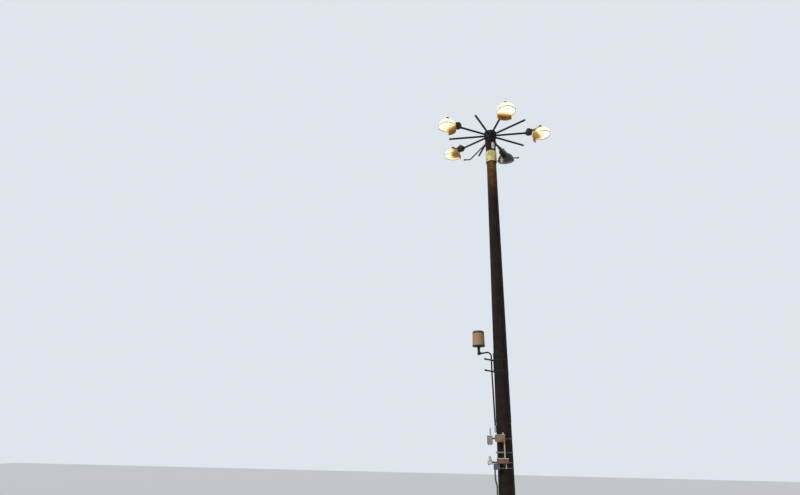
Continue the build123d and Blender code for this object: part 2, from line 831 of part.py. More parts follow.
# Cabinet door: a shallow tray with its knuckle between the lugs and a latch
knuckle_bottom = lug_levels[0] + lug_height + pin_clearance
knuckle_top = lug_levels[1] - pin_clearance
with BuildPart() as door:
    with Locations((cabinet_left + cabinet_width / 2, door_back - door_depth / 2, cabinet_bottom)):
        Box(cabinet_width, door_depth, cabinet_height, align=(Align.CENTER, Align.CENTER, Align.MIN))
    offset(amount=-cabinet_wall, openings=door.faces().sort_by(Axis.Y)[-1])
    with BuildSketch(Plane.XY.offset(knuckle_bottom)):
        with Locations((hinge_x, hinge_y)):
            Circle(hinge_radius)
            Rectangle(hinge_offset + cabinet_wall / 2, hinge_radius, align=(Align.MIN, Align.CENTER))
            Circle(pin_radius + pin_clearance, mode=Mode.SUBTRACT)
    extrude(amount=knuckle_top - knuckle_bottom)
    with BuildSketch(Plane.XZ.offset(-door_back + door_depth)):
        with Locations((cabinet_right - latch_inset, cabinet_bottom + cabinet_height / 2)):
            Circle(latch_radius)
    extrude(amount=latch_height)
write(door.part, "upper_cabinet_door")

# Lower boxes and the small unit at the left
lower_back = box_face(rail_heights[2])
lower_cabinet_bottom = rail_heights[2] - lower_cabinet_below_rail
write(rounded_box(lower_cabinet_left, lower_cabinet_width, lower_cabinet_bottom, lower_cabinet_height,
                  lower_cabinet_depth, lower_back), "lower_cabinet")
grey_box_bottom = lower_cabinet_bottom - seat_gap - grey_box_height
write(rounded_box(grey_box_left, grey_box_width, grey_box_bottom, grey_box_height, grey_box_depth,
                  box_face(rail_heights[3])), "grey_box")
unit_bottom = rail_heights[2] - unit_below_rail
with BuildPart() as unit:
    add(rounded_box(unit_reach - unit_width / 2, unit_width, unit_bottom, unit_height, unit_depth, lower_back))
    hood_foot = Location((unit_reach + unit_width / 4, lower_back - unit_depth / 2, unit_bottom + unit_height / 2),
                         (0, -hood_tilt, 0))
    with Locations(hood_foot):
        Cylinder(hood_radius, unit_height / 2 + hood_length, align=(Align.CENTER, Align.CENTER, Align.MIN))
    fillet(unit.edges().filter_by(GeomType.CIRCLE).sort_by(Axis.Z)[-1], hood_radius / 3)
write(unit.part, "left_unit")

# Short conduits: a stub on the upper cabinet, one between the cabinets, and a tail below the lower one
with BuildPart() as conduits:
    short_x = cabinet_right - conduit_radius * 1.5
    short_y = lower_back - conduit_radius * 2.5
    short_bottom = lower_cabinet_bottom + lower_cabinet_height + seat_gap
    with BuildSketch(Plane.XY.offset(short_bottom)):
        with Locations((short_x, short_y)):
            Circle(conduit_radius)
            Circle(conduit_radius - conduit_wall, mode=Mode.SUBTRACT)
    extrude(amount=cabinet_bottom - seat_gap - short_bottom)
    with Locations((cabinet_right - stub_inset, upper_back - cabinet_depth / 2, cabinet_top + seat_gap)):
        Cylinder(stub_radius, stub_height, align=(Align.CENTER, Align.CENTER, Align.MIN))
    with Locations((tail_x, lower_back - lower_cabinet_depth / 2, lower_cabinet_bottom - seat_gap)):
        Cylinder(tail_radius, tail_length, align=(Align.CENTER, Align.CENTER, Align.MAX))
write(conduits.part, "cabinet_conduit")

# Drop conduit: down from the grey box, offset in towards the mast, then along it to an outlet near the ground
drop_top = Vector(grey_box_left + drop_inset, box_face(rail_heights[3]) - grey_box_depth / 2,
                  grey_box_bottom - seat_gap)
drop_ray = Vector(cos(radians(drop_turn)), sin(radians(drop_turn)), 0)
drop_far = mast_face(joint_low) + wall_middle + drop_radius + drop_standoff
near_height = drop_top.Z - drop_lead - drop_jog
drop_near = mast_face(near_height) + drop_radius + drop_standoff
drop_slope = (drop_far - drop_near) / (near_height - joint_low)


def drop_axis(height):
    """Point on the conduit's straight run at a height."""
    return drop_ray * (drop_near + drop_slope * (near_height - height)) + Vector(0, 0, height)


with BuildPart() as drop:
    with BuildLine() as drop_path:
        FilletPolyline(drop_top, drop_top - Vector(0, 0, drop_lead), drop_axis(near_height),
                       drop_axis(outlet_height), radius=drop_bend)
    with BuildSketch(Plane(drop_path.line @ 0, z_dir=drop_path.line % 0)):
        Circle(drop_radius)
        Circle(drop_radius - conduit_wall, mode=Mode.SUBTRACT)
    sweep()
    outlet_plane = Plane(origin=drop_ray * (mast_face(outlet_height - outlet_length) + seat_gap)
                         + Vector(0, 0, outlet_height - outlet_length / 2),
                         x_dir=(-drop_ray.Y, drop_ray.X, 0), z_dir=drop_ray)
    with BuildSketch(outlet_plane):
        RectangleRounded(outlet_width, outlet_length, outlet_width / 5)
    outlet_axis = drop_axis(outlet_height)
    extrude(amount=Vector(outlet_axis.X, outlet_axis.Y, 0).length + drop_radius
            - mast_face(outlet_height - outlet_length))
write(drop.part, "drop_conduit")

# Clamps: a short stand from the mast's face to the conduit, at equal steps down its straight run
clamp_step = (near_height - outlet_height) / clamp_count
with BuildPart() as clamps:
    for n in range(clamp_count):
        height = near_height - (n + 0.5) * clamp_step
        clamp_face = mast_face(height - clamp_height / 2) + seat_gap
        axis_point = drop_axis(height)
        reach = Vector(axis_point.X, axis_point.Y, 0).length
        with BuildPart(mode=Mode.PRIVATE) as clamp:
            with BuildSketch(Plane(origin=drop_ray * clamp_face + Vector(0, 0, height),
                                   x_dir=(-drop_ray.Y, drop_ray.X, 0), z_dir=drop_ray)):
                Rectangle(clamp_width, clamp_height)
            extrude(amount=reach - clamp_face)
            with BuildSketch(Plane(origin=axis_point - Vector(0, 0, clamp_height / 2))):
                Circle(drop_radius + clamp_width / 6)
            extrude(amount=clamp_height)
            with BuildSketch(Plane(origin=axis_point - Vector(0, 0, clamp_height))):
                Circle(drop_radius + seat_gap)
            extrude(amount=2 * clamp_height, mode=Mode.SUBTRACT)
        add(clamp.part)
write(clamps.part, "conduit_clamps")
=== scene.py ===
# %% [markdown]
# # High mast floodlight tower
# A tapered steel mast carries ten arms, and every second arm ends in a floodlight. The frame, loaded below,
# already holds each rigid piece at its real size. This lesson adds what a maker adds last: welds, bolts,
# ribbed glass, clips and covers, and the finish of every surface.

# %% Frame, tools and the box of the bare construction
import json
from math import asin, cos, degrees, pi, radians, sin, sqrt

import bmesh
import bpy
import numpy as np
from mathutils import Matrix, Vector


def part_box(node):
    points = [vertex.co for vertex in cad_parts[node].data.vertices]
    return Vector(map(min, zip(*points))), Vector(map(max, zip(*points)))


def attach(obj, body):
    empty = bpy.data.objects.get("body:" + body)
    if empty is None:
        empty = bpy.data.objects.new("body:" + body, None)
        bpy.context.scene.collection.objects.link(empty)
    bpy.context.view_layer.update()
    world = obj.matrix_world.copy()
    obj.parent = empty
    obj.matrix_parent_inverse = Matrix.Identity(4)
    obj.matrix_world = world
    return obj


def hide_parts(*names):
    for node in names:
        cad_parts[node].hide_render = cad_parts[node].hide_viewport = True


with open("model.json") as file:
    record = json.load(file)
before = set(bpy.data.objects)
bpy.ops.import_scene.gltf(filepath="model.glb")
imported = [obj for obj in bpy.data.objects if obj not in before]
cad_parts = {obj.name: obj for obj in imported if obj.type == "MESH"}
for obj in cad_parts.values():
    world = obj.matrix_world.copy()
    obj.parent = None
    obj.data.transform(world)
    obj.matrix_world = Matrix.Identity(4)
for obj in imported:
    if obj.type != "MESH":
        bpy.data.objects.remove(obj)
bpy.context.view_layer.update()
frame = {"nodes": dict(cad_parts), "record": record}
MAST = "mast"
DOOR = "cabinet_door"

# %% [markdown]
# Sizes come first. They could be typed in wherever a piece needs them, but named once they keep every added
# piece in step with the frame. Those that a node of the frame can give are read from its box; the others
# repeat the drawing's own values, in metres.

# %% Sizes shared by many pieces
corners = {name: np.array([list(corner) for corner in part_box(name)]) for name in frame["nodes"]}
ARM_HEIGHT = corners["bare_arms"][:, 2].mean()
PLATE_TOP = corners["base_plate"][1, 2]
MAST_TOP = corners["mast_upper"][1, 2]
JOINT_HIGH = corners["mast_upper"][0, 2]
JOINT_LOW = corners["mast_middle"][0, 2]
HUB_BOTTOM, HUB_TOP = corners["hub_drum"][:, 2]
COLLAR_BOTTOM, COLLAR_TOP = corners["collar_sleeve"][:, 2]
TAPER = 0.0146  # width lost in each metre of height
TOP_WIDTH = 0.299  # the mast's top, across its flats
WALL_STEP = 0.0053  # one wall and its gap, at the upper slip joint
WALL_STEP_LOW = 0.0068  # the same at the lower one, where the wall is thicker
NECK_FOOT = MAST_TOP + 0.020
NECK_LOW_RADIUS = 0.150
NECK_HIGH_RADIUS = 0.174
SEAT_GAP = 0.0003  # air under a part that rests on another
SIDES = 12


def mast_face(height):
    """Distance from the axis to the mast's flats: half the top width, plus half the taper times the fall from
    the top, less one wall and gap below each slip joint. Works on single heights and on arrays."""
    height = np.asarray(height, float)
    wide = (TOP_WIDTH + TAPER * (MAST_TOP - height)) / 2
    return wide - WALL_STEP * (height < JOINT_HIGH) - WALL_STEP_LOW * (height < JOINT_LOW)


def neck_radius(height):
    """Outer radius of the neck, a cone that widens evenly from 150 mm at its foot to 174 mm under the hub."""
    share = (height - NECK_FOOT) / (HUB_BOTTOM - NECK_FOOT)
    return NECK_LOW_RADIUS + (NECK_HIGH_RADIUS - NECK_LOW_RADIUS) * share


ground_width = 2 * float(mast_face(PLATE_TOP))
print("arms at", round(ARM_HEIGHT, 3), "m; mast", round(ground_width, 3), "m wide at the ground")

# %% [markdown]
# The camera stands at the photograph's own place: about sixteen metres away and fifteen metres up, looking
# up by 19 degrees and 10 degrees to the left of the mast. It could be aimed by eye or by a constraint, but
# its matrix is built from those angles instead, so that each number keeps its meaning and the small roll is
# exact.

# %% Camera
DISTANCE = 16.1
EYE_HEIGHT = 14.916
PITCH = radians(19.277)
HEADING = radians(10.469)
ROLL = radians(0.798)
FOCAL_PIXELS = 547.46
IMAGE_WIDTH = 800
SENSOR = 36

ahead = np.array([-sin(HEADING) * cos(PITCH), cos(HEADING) * cos(PITCH), sin(PITCH)])
level = np.array([cos(HEADING), sin(HEADING), 0])
above = np.cross(level, ahead)
right = cos(ROLL) * level + sin(ROLL) * above
upward = cos(ROLL) * above - sin(ROLL) * level
lens = bpy.data.cameras.new("camera")
lens.sensor_width = SENSOR
lens.lens = FOCAL_PIXELS / IMAGE_WIDTH * SENSOR
lens.clip_end = 500
camera = bpy.data.objects.new("camera", lens)
bpy.context.scene.collection.objects.link(camera)
camera.matrix_world = Matrix((
    (right[0], upward[0], -ahead[0], 0),
    (right[1], upward[1], -ahead[1], -DISTANCE),
    (right[2], upward[2], -ahead[2], EYE_HEIGHT),
    (0, 0, 0, 1),
))
bpy.context.scene.camera = camera
bpy.context.scene.view_settings.view_transform = "Standard"
print("lens", round(lens.lens, 2), "mm on a", SENSOR, "mm sensor")

# %% [markdown]
# Every new shape here is a surface worked out with arrays. Blender's own cylinders and a Screw modifier
# could give most of them, but in a formula each size has a name, and a rib or a ripple is just one more
# factor. A grid of points has rows and columns; the faces between them follow from counting. Points that
# fall together, as at a pole or a closed seam, are merged afterwards, so that each shape is a closed skin.


# %% Grids and revolved shapes
def grid(points):
    """Vertices and quads of an array of points with shape (rows, columns, 3): corner (i, j) is joined to
    (i, j+1), (i+1, j+1) and (i+1, j)."""
    rows, columns = points.shape[:2]
    i, j = np.meshgrid(np.arange(rows - 1), np.arange(columns - 1), indexing="ij")
    first = (i * columns + j).ravel()
    return points.reshape(-1, 3), np.stack([first, first + 1, first + columns + 1, first + columns], axis=1)


def revolved(profile, segments=32, ripple=None):
    """A profile of (radius, height) pairs turned about Z: x = r cos a, y = r sin a, z = height. ripple, if
    given, is a function of the angle that multiplies the radius. Six segments give a hexagon."""
    profile = np.asarray(profile, float)
    angle = np.linspace(0, 2 * pi, segments + 1)
    radius = np.repeat(profile[:, :1], segments + 1, axis=1)
    if ripple is not None:
        radius = radius * ripple(angle[None, :])
    height = np.repeat(profile[:, 1:], segments + 1, axis=1)
    return grid(np.stack([radius * np.cos(angle), radius * np.sin(angle), height], axis=2))


def disc(radius, height, edge=0.0, segments=20, foot=0.0):
    """A solid disc about Z with a sloped upper edge: its profile runs out along the foot, up, in over the
    slope and back to the axis."""
    top = foot + height
    corners_of_half = [(0, foot), (radius, foot), (radius, top - edge), (radius - edge, top), (0, top)]
    return revolved(corners_of_half, segments)


def hoop(inner, outer, low, high, segments=48):
    """A ring about Z with a square section, whose outer corners are cut by 0.3 of its thinner side."""
    cut = min(outer - inner, high - low) * 0.3
    return revolved([(inner, low), (outer - cut, low), (outer, low + cut), (outer, high - cut),
                     (outer - cut, high), (inner, high), (inner, low)], segments)


print("grids and revolved shapes ready")

# %% [markdown]
# A weld, a gasket or a clip wire is a small circle carried along a path. A curve with a bevel could give the
# plain ones; worked out as an array, the path may be closed and its radius may follow a formula along the
# way, so that a weld's ripples are nothing but a cosine added to the radius.


# %% Paths and tubes
def spaced(path, step, closed=False):
    """Points at even steps along a broken line: run lengths are added up, and each coordinate is read off
    between them."""
    path = np.asarray(path, float)
    if closed:
        path = np.vstack([path, path[:1]])
    run = np.concatenate([[0], np.cumsum(np.linalg.norm(np.diff(path, axis=0), axis=1))])
    at = np.linspace(0, run[-1], max(int(run[-1] / step), 3) + 1)
    points = np.column_stack([np.interp(at, run, path[:, k]) for k in range(3)])
    return points[:-1] if closed else points


def tube(path, radius, sides=12, closed=False):
    """A circle carried along a path: each row is the path's point plus radius times (cos a side + sin a up),
    where side and up stand square to the path's direction. Open ends are closed by a point."""
    path = np.asarray(path, float)
    radius = np.broadcast_to(np.asarray(radius, float), (len(path),))
    if closed:
        path = np.vstack([path, path[:1]])
        radius = np.concatenate([radius, radius[:1]])
        along = np.roll(path[:-1], -1, axis=0) - np.roll(path[:-1], 1, axis=0)
        along = np.vstack([along, along[:1]])
    else:
        along = np.gradient(path, axis=0)
    along = along / np.linalg.norm(along, axis=1, keepdims=True)
    helper = np.eye(3)[int(np.argmin(np.abs(along).max(axis=0)))]
    side = np.cross(along, helper)
    side /= np.linalg.norm(side, axis=1, keepdims=True)
    up = np.cross(side, along)
    if not closed:
        path, side, up = [np.vstack([rows[:1], rows, rows[-1:]]) for rows in (path, side, up)]
        radius = np.concatenate([[0], radius, [0]])
    angle = np.linspace(0, 2 * pi, sides + 1)
    ring = np.cos(angle)[None, :, None] * side[:, None, :] + np.sin(angle)[None, :, None] * up[:, None, :]
    return grid(path[:, None, :] + radius[:, None, None] * ring)


def circle(radius, height=0.0, count=48, start=0.0, end=360.0):
    """Points of a circle or an arc about Z, angles in degrees. A whole circle leaves its last point out."""
    angle = np.radians(np.linspace(start, end, count + 1))
    points = np.column_stack([radius * np.cos(angle), radius * np.sin(angle), np.full(count + 1, height)])
    return points[:-1] if end - start == 360 else points


def weld(path, radius, pitch=0.008):
    """Closed weld bead: five points to a ripple, radius times 1 + 0.16 cos(2 pi run / pitch)."""
    ripple_points = 5
    points = spaced(path, pitch / ripple_points, closed=True)
    ripples = 0.16 * np.cos(2 * pi * np.arange(len(points)) / ripple_points)
    return tube(points, radius * (1 + ripples), 7, closed=True)


def flats(height, grow=0.0):
    """The twelve corners of the mast at a height, moved outward by grow."""
    reach = (float(mast_face(height)) + grow) / cos(pi / SIDES)
    return circle(reach, height, SIDES, 180 / SIDES, 360 + 180 / SIDES)


print("paths and tubes ready")

# %% [markdown]
# Plates, blocks and folded sheets are outlines raised along an axis. A cube with a Bevel modifier would
# round every edge alike, while a real plate has wide corners and a fine edge, so the two are separate
# numbers here. A slab's top edge is beveled, because a real edge always catches a line of light. A folded
# sheet is one line of its section, thickened and drawn out sideways.


# %% Plates and folded sheets
def slab(outline, height, bevel=0.0):
    """A convex outline in X and Y raised along Z: rows at the foot, at the bevel's start and at the shrunken
    top, with one point in the middle of each end."""
    outline = np.asarray(outline, float)
    centre = outline.mean(axis=0)
    outward = (outline - centre) / np.linalg.norm(outline - centre, axis=1, keepdims=True)
    loop = np.vstack([outline, outline[:1]])
    inner = outline - outward * bevel
    inner = np.vstack([inner, inner[:1]])
    middle = np.repeat(centre[None, :], len(loop), axis=0)
    rows = [(middle, 0), (loop, 0), (loop, height - bevel), (inner, height), (middle, height)]
    return grid(np.stack([np.column_stack([flat, np.full(len(flat), rise)]) for flat, rise in rows]))


def rounded(width, height, corner, steps=5):
    """Points of a rectangle with quarter-circle corners, anticlockwise about the origin."""
    turn = np.linspace(0, pi / 2, steps)
    quarter = corner * np.column_stack([np.cos(turn), np.sin(turn)])
    points = []
    for n, (sx, sy) in enumerate(((1, 1), (-1, 1), (-1, -1), (1, -1))):
        spin = n * pi / 2
        bent = quarter @ np.array([[cos(spin), sin(spin)], [-sin(spin), cos(spin)]])
        points.append(bent + [sx * (width / 2 - corner), sy * (height / 2 - corner)])
    return np.vstack(points)


def plate(width, height, thickness, corner=0.004, bevel=0.001):
    """A rounded rectangular plate standing on the plane Z = 0."""
    return slab(rounded(width, height, corner), thickness, bevel)


def sheet(line, thickness, start, end):
    """A folded sheet: the line of its section in Y and Z, moved along its own normal by the thickness for the
    other side, and both drawn from start to end along X."""
    line = np.asarray(line, float)
    along = np.gradient(line, axis=0)
    normal = np.column_stack([-along[:, 1], along[:, 0]]) / np.linalg.norm(along, axis=1, keepdims=True)
    other = line + normal * thickness
    loop = np.vstack([line, other[::-1], line[:1]])
    sides = np.stack([np.column_stack([np.full(len(loop), x), loop]) for x in (start, end)], axis=1)
    ends = [np.stack([np.column_stack([np.full(len(line), x), edge]) for edge in (line, other)], axis=1)
            for x in (start, end)]
    return joined([grid(sides)] + [grid(rows) for rows in ends])


print("plates and sheets ready")

# %% [markdown]
# A shape is drawn once, about its own Z axis, and then set in place: moved and turned to a spot, or turned
# about the mast. An Array modifier could repeat it, but only in even steps; here the copies go wherever a
# list of spots says and are counted on into one mesh, so that forty bolts are one piece.


# %% Setting shapes in place
def placed(shape, origin=(0, 0, 0), x=(1, 0, 0), z=(0, 0, 1)):
    """A shape moved so that its own X and Z lie along x and z: each point becomes origin + px x +
    py (z cross x) + pz z."""
    points, faces = shape
    z = np.asarray(z, float) / np.linalg.norm(z)
    x = np.asarray(x, float) - z * (np.asarray(x, float) @ z)
    x /= np.linalg.norm(x)
    return points @ np.stack([x, np.cross(z, x), z]) + np.asarray(origin, float), faces


def joined(shapes):
    """Several shapes as one: the faces of each count on from the points before it."""
    shapes = list(shapes)
    starts = np.cumsum([0] + [len(points) for points, _ in shapes[:-1]])
    return (np.vstack([points for points, _ in shapes]),
            np.vstack([faces + start for (_, faces), start in zip(shapes, starts)]))


def at(shape, spots, z=(0, 0, 1), x=(1, 0, 0)):
    """Copies of a shape at several spots, all turned the same way."""
    return joined(placed(shape, spot, x, z) for spot in spots)


def turned(shape, turn):
    """A shape turned about the mast's axis by degrees: x' = x cos a - y sin a, y' = x sin a + y cos a."""
    a = radians(turn)
    return shape[0] @ np.array([[cos(a), sin(a), 0], [-sin(a), cos(a), 0], [0, 0, 1]]), shape[1]


def around(shape, radius, height, turns):
    """Copies of a shape round the mast's axis, its Z pointing straight out and its X up."""
    out = placed(shape, (radius, 0, height), (0, 0, 1), (1, 0, 0))
    return joined(turned(out, turn) for turn in turns)


def front(shape, spots):
    """Copies of a shape on an upright face that looks towards -Y, its Z pointing out and its Y up."""
    return at(shape, spots, (0, -1, 0))


def under(shape, spots):
    """Copies of a shape hanging from an underside, its Z pointing down."""
    return at(shape, spots, (0, 0, -1))


MERGE_DISTANCE = 1e-5
THINNEST_EDGE = 1e-6


def make(name, shape, material, body=MAST, attributes=None, sharp=38):
    """Builds a mesh object at the origin from points and faces, merges what falls together, turns its faces
    outward, shades it smooth up to an angle and hands it to the frame."""
    points, faces = shape
    mesh = bpy.data.meshes.new(name)
    mesh.from_pydata(points.tolist(), [], faces.tolist())
    for key, values in (attributes or {}).items():
        layer = mesh.attributes.new(key, "FLOAT", "POINT")
        layer.data.foreach_set("value", np.asarray(values, np.float32).ravel())
    bm = bmesh.new()
    bm.from_mesh(mesh)
    bmesh.ops.remove_doubles(bm, verts=bm.verts, dist=MERGE_DISTANCE)
    bmesh.ops.dissolve_degenerate(bm, edges=bm.edges, dist=THINNEST_EDGE)
    bmesh.ops.recalc_face_normals(bm, faces=bm.faces)
    bm.to_mesh(mesh)
    bm.free()
    mesh.shade_smooth()
    mesh.set_sharp_from_angle(angle=radians(sharp))
    mesh.materials.append(material)
    thing = bpy.data.objects.new(name, mesh)
    bpy.context.scene.collection.objects.link(thing)
    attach(thing, body)
    print(name, len(mesh.polygons), "faces")
    return thing


print("ready to set pieces in place")

# %% [markdown]
# Fasteners follow one rule each, so that any size can be asked for. A bolt head is 1.7 times its thread
# across the flats; a cap screw has a round head with a sunk socket; a cable gland is a hexagon with a domed
# nut on it. A modelled thread would be hidden in most of them and cost many faces, so only the anchor studs,
# whose ends stand free, get one.


# %% Fasteners
def bolt(thread):
    """Hexagon head on a washer, standing on Z = 0: corner radius = 1.7 thread / sqrt 3."""
    corner = 1.7 * thread / sqrt(3)
    washer = 0.16 * thread
    head = disc(corner, 0.65 * thread, 0.1 * thread, 6, washer)
    return joined([disc(1.05 * thread, washer, 0.0, 14), head])


def cap_screw(radius, height):
    """Round head with a socket sunk in it: the profile goes out, up, in to the socket's edge and down."""
    socket = 0.45 * radius
    sunk = 0.4 * height
    return revolved([(0, 0), (radius, 0), (radius, 0.6 * height), (0.85 * radius, height),
                     (socket, height), (socket, sunk), (0, sunk)], 12)


def anchor(thread, stand, pitch=0.004):
    """Anchor stud: washer, nut, thin lock nut, and a thread whose radius is a saw tooth of the height."""
    washer = 0.15 * thread
    nut_corner = 0.89 * thread
    slope = 0.08 * thread
    lock_foot = 0.96 * thread
    lock_turn = (cos(0.4), sin(0.4), 0)
    thread_foot = 1.42 * thread
    levels = np.linspace(thread_foot, stand, 2 * int((stand - thread_foot) / pitch) + 1)
    teeth = thread / 2 * np.where(np.arange(len(levels)) % 2, 0.9, 1.0)
    rod = np.vstack([[(0, thread_foot)], np.column_stack([teeth, levels]), [(0, stand)]])
    lock_nut = placed(disc(nut_corner, 0.44 * thread, slope, 6, lock_foot), x=lock_turn)
    return joined([disc(1.15 * thread, washer, 0.02 * thread),
                   disc(nut_corner, 0.8 * thread, slope, 6, washer), lock_nut, revolved(rod, 16)])


def gland(radius):
    """Cable gland: a hexagon body and a domed nut, with the cable's rubber ring in its mouth."""
    return joined([disc(1.3 * radius, 0.6 * radius, 0.1 * radius, 6),
                   revolved([(0, 0.6 * radius), (1.1 * radius, 0.6 * radius), (1.1 * radius, 1.3 * radius),
                             (0.8 * radius, 1.9 * radius), (0.5 * radius, 1.9 * radius),
                             (0.5 * radius, 1.6 * radius), (0, 1.6 * radius)], 16)])


print("fasteners ready")

# %% [markdown]
# Colours are written as they look on screen, in hex, and one function turns them into the linear values that
# the renderer adds and multiplies. Another small function adds a node with its settings and links, so that a
# material reads as a list of what feeds what.


# %% Colour and node helpers
def colour(code):
    """Linear red, green, blue and alpha of an sRGB hex colour: c/12.92 below 0.04045, else
    ((c + 0.055) / 1.055) to the power 2.4."""
    values = [int(code[i:i + 2], 16) / 255 for i in (1, 3, 5)]
    return [v / 12.92 if v <= 0.04045 else ((v + 0.055) / 1.055) ** 2.4 for v in values] + [1.0]


def add(tree, kind, inputs=None, stops=None, **settings):
    """Adds a node to a tree, sets its properties, fills each named input with a value or a link, and puts
    the stops, pairs of position and hex colour, on its ramp if it has one."""
    made = tree.nodes.new(kind)
    for key, value in settings.items():
        setattr(made, key, value)
    for key, value in (inputs or {}).items():
        if isinstance(value, bpy.types.NodeSocket):
            tree.links.new(value, made.inputs[key])
        else:
            made.inputs[key].default_value = value
    for n, (position, code) in enumerate(stops or []):
        bar = made.color_ramp.elements
        stop = bar[n] if n < 2 else bar.new(position)
        stop.position = position
        stop.color = colour(code)
    return made


def blank(name):
    """An empty node material, its tree, its principled shader, and its object coordinates."""
    material = bpy.data.materials.new(name)
    material.use_nodes = True
    tree = material.node_tree
    where = add(tree, "ShaderNodeTexCoord").outputs["Object"]
    return material, tree, tree.nodes["Principled BSDF"], where


print("node helpers ready")

# %% [markdown]
# ## Finishes
# The mast is weathering steel, hot rolled and left bare. Rain and sun turn it a dense dark brown, matt and
# blotched, with tall streaks and thin runs of orange rust at its foot and below each slip joint. Just under
# the collar a warmer, lighter brown is painted on: the lamps' light falling on the steel, not a colour of
# its own. A picture of rust could be wrapped round it, but would repeat over 24 metres and show a seam, so
# the pattern is made of noise. One noise stretched along the height and one that isn't give the streaks and
# the patches, and two ramps turn the same mixture into the dark tones and the warmer tones of painted
# lamplight. Each noise is sized by how many of its blotches fit in a metre.


# %% Weathering steel
STREAKS_PER_METRE = (7, 7, 0.28)  # rain streaks, 143 mm wide and 3.6 m tall
PATCHES_PER_METRE = 4.5  # patches of thicker rust, 220 mm across
DRIPS_PER_METRE = (34, 34, 2.6)  # runs of rust, 29 mm wide and 385 mm tall
GRAINS_PER_METRE = 160.0  # the pitted skin, 6 mm: coarser than the real one, so that it shows
RUN_LENGTH = 0.8  # how far the orange runs reach down from a joint
# The warm brown under the collar is painted lamplight, not a colour of the steel.
LAMPLIGHT_FOOT = 22.0  # height at which the warm brown begins


def weathering_steel():
    """Rust patina: a dark ramp over streaks and patches, orange runs where the height is just below a joint,
    and a ramp of warmer browns over the same pattern, painted lamplight from the lamps above, let in
    smoothly from its foot height up to the collar."""
    material, tree, shader, where = blank("weathering_steel_patina")
    tall = add(tree, "ShaderNodeMapping", {"Vector": where, "Scale": STREAKS_PER_METRE}).outputs["Vector"]
    streaks = add(tree, "ShaderNodeTexNoise", {"Vector": tall, "Scale": 1.0, "Detail": 6.0,
                                               "Roughness": 0.62})
    patches = add(tree, "ShaderNodeTexNoise", {"Vector": where, "Scale": PATCHES_PER_METRE, "Detail": 6.0,
                                               "Roughness": 0.66})
    both = add(tree, "ShaderNodeMix", {"Factor": 0.62, "A": streaks.outputs[0], "B": patches.outputs[0]})
    tone = add(tree, "ShaderNodeValToRGB", {"Fac": both.outputs[0]},
               [(0.30, "#100c0a"), (0.45, "#1c1511"), (0.56, "#281d15"), (0.70, "#3d2d1e")])
    height = add(tree, "ShaderNodeSeparateXYZ", {"Vector": where}).outputs["Z"]
    runs = 0.0
    for level in (PLATE_TOP + 0.3, JOINT_LOW, JOINT_HIGH):  # the splashed foot and both slip joints
        below = add(tree, "ShaderNodeMapRange", {"Value": height, "From Min": level - RUN_LENGTH,
                                                 "From Max": level})
        stop = add(tree, "ShaderNodeMapRange", {"Value": height, "From Min": level, "From Max": level + 0.01,
                                                "To Min": 1.0, "To Max": 0.0})
        here = add(tree, "ShaderNodeMath", {0: below.outputs[0], 1: stop.outputs[0]}, operation="MULTIPLY")
        runs = add(tree, "ShaderNodeMath", {0: here.outputs[0], 1: runs}, operation="MAXIMUM").outputs[0]
    narrow = add(tree, "ShaderNodeMapping", {"Vector": where, "Scale": DRIPS_PER_METRE}).outputs["Vector"]
    drips = add(tree, "ShaderNodeTexNoise", {"Vector": narrow, "Scale": 1.0, "Detail": 4.0,
                                             "Distortion": 0.4})
    thin = add(tree, "ShaderNodeMapRange", {"Value": drips.outputs[0], "From Min": 0.48, "From Max": 0.85,
                                            "To Max": 0.6})
    rust = add(tree, "ShaderNodeMath", {0: runs, 1: thin.outputs[0]}, operation="MULTIPLY")
    orange = add(tree, "ShaderNodeMix", {"Factor": rust.outputs[0], "A": tone.outputs[0],
                                         "B": colour("#59361f")}, data_type="RGBA")
    # Painted lamplight: warmer browns let in from the foot height up to the collar, where the lamps' light
    # falls on the mast; the neck above keeps the dark tones.
    lamplight_rising = add(tree, "ShaderNodeMapRange", {"Value": height, "From Min": LAMPLIGHT_FOOT,
                                              "From Max": COLLAR_BOTTOM, "To Max": 0.9},
                 interpolation_type="SMOOTHSTEP")
    on_mast = add(tree, "ShaderNodeMath", {0: height, 1: COLLAR_TOP - 0.1}, operation="LESS_THAN")
    lamplight_share = add(tree, "ShaderNodeMath", {0: lamplight_rising.outputs[0], 1: on_mast.outputs[0]}, operation="MULTIPLY")
    lamplight_tone = add(tree, "ShaderNodeValToRGB", {"Fac": both.outputs[0]},
                    [(0.32, "#3a2712"), (0.45, "#5f411b"), (0.55, "#815823"), (0.70, "#a87f3c")])
    with_lamplight = add(tree, "ShaderNodeMix", {"Factor": lamplight_share.outputs[0], "A": orange.outputs[2],
                                          "B": lamplight_tone.outputs[0]}, data_type="RGBA")
    grain = add(tree, "ShaderNodeTexNoise", {"Vector": where, "Scale": GRAINS_PER_METRE, "Detail": 3.0,
                                             "Roughness": 0.7})
    specks = add(tree, "ShaderNodeValToRGB", {"Fac": grain.outputs[0]},
                 [(0.35, "#9a9a9a"), (0.62, "#ffffff")])
    final = add(tree, "ShaderNodeMix", {"Factor": 0.6, "A": with_lamplight.outputs[2], "B": specks.outputs[0]},
                data_type="RGBA", blend_type="MULTIPLY")
    tree.links.new(final.outputs[2], shader.inputs["Base Color"])
    shader.inputs["Roughness"].default_value = 0.78
    shader.inputs["Specular IOR Level"].default_value = 0.18
    bump = add(tree, "ShaderNodeBump", {"Height": grain.outputs[0], "Distance": 0.0008, "Strength": 0.8})
    tree.links.new(bump.outputs["Normal"], shader.inputs["Normal"])
    return material


STEEL = weathering_steel()
print(STEEL.name)

# %% [markdown]
# Painted, plated and moulded parts share one recipe: a main colour, a dirt or wear colour that gathers in
# soft clouds and runs down in streaks, and a light bump for the spray or the mould's texture. Only colours,
# gloss, the amount of dirt and the size of the bump change, so one function makes them all.


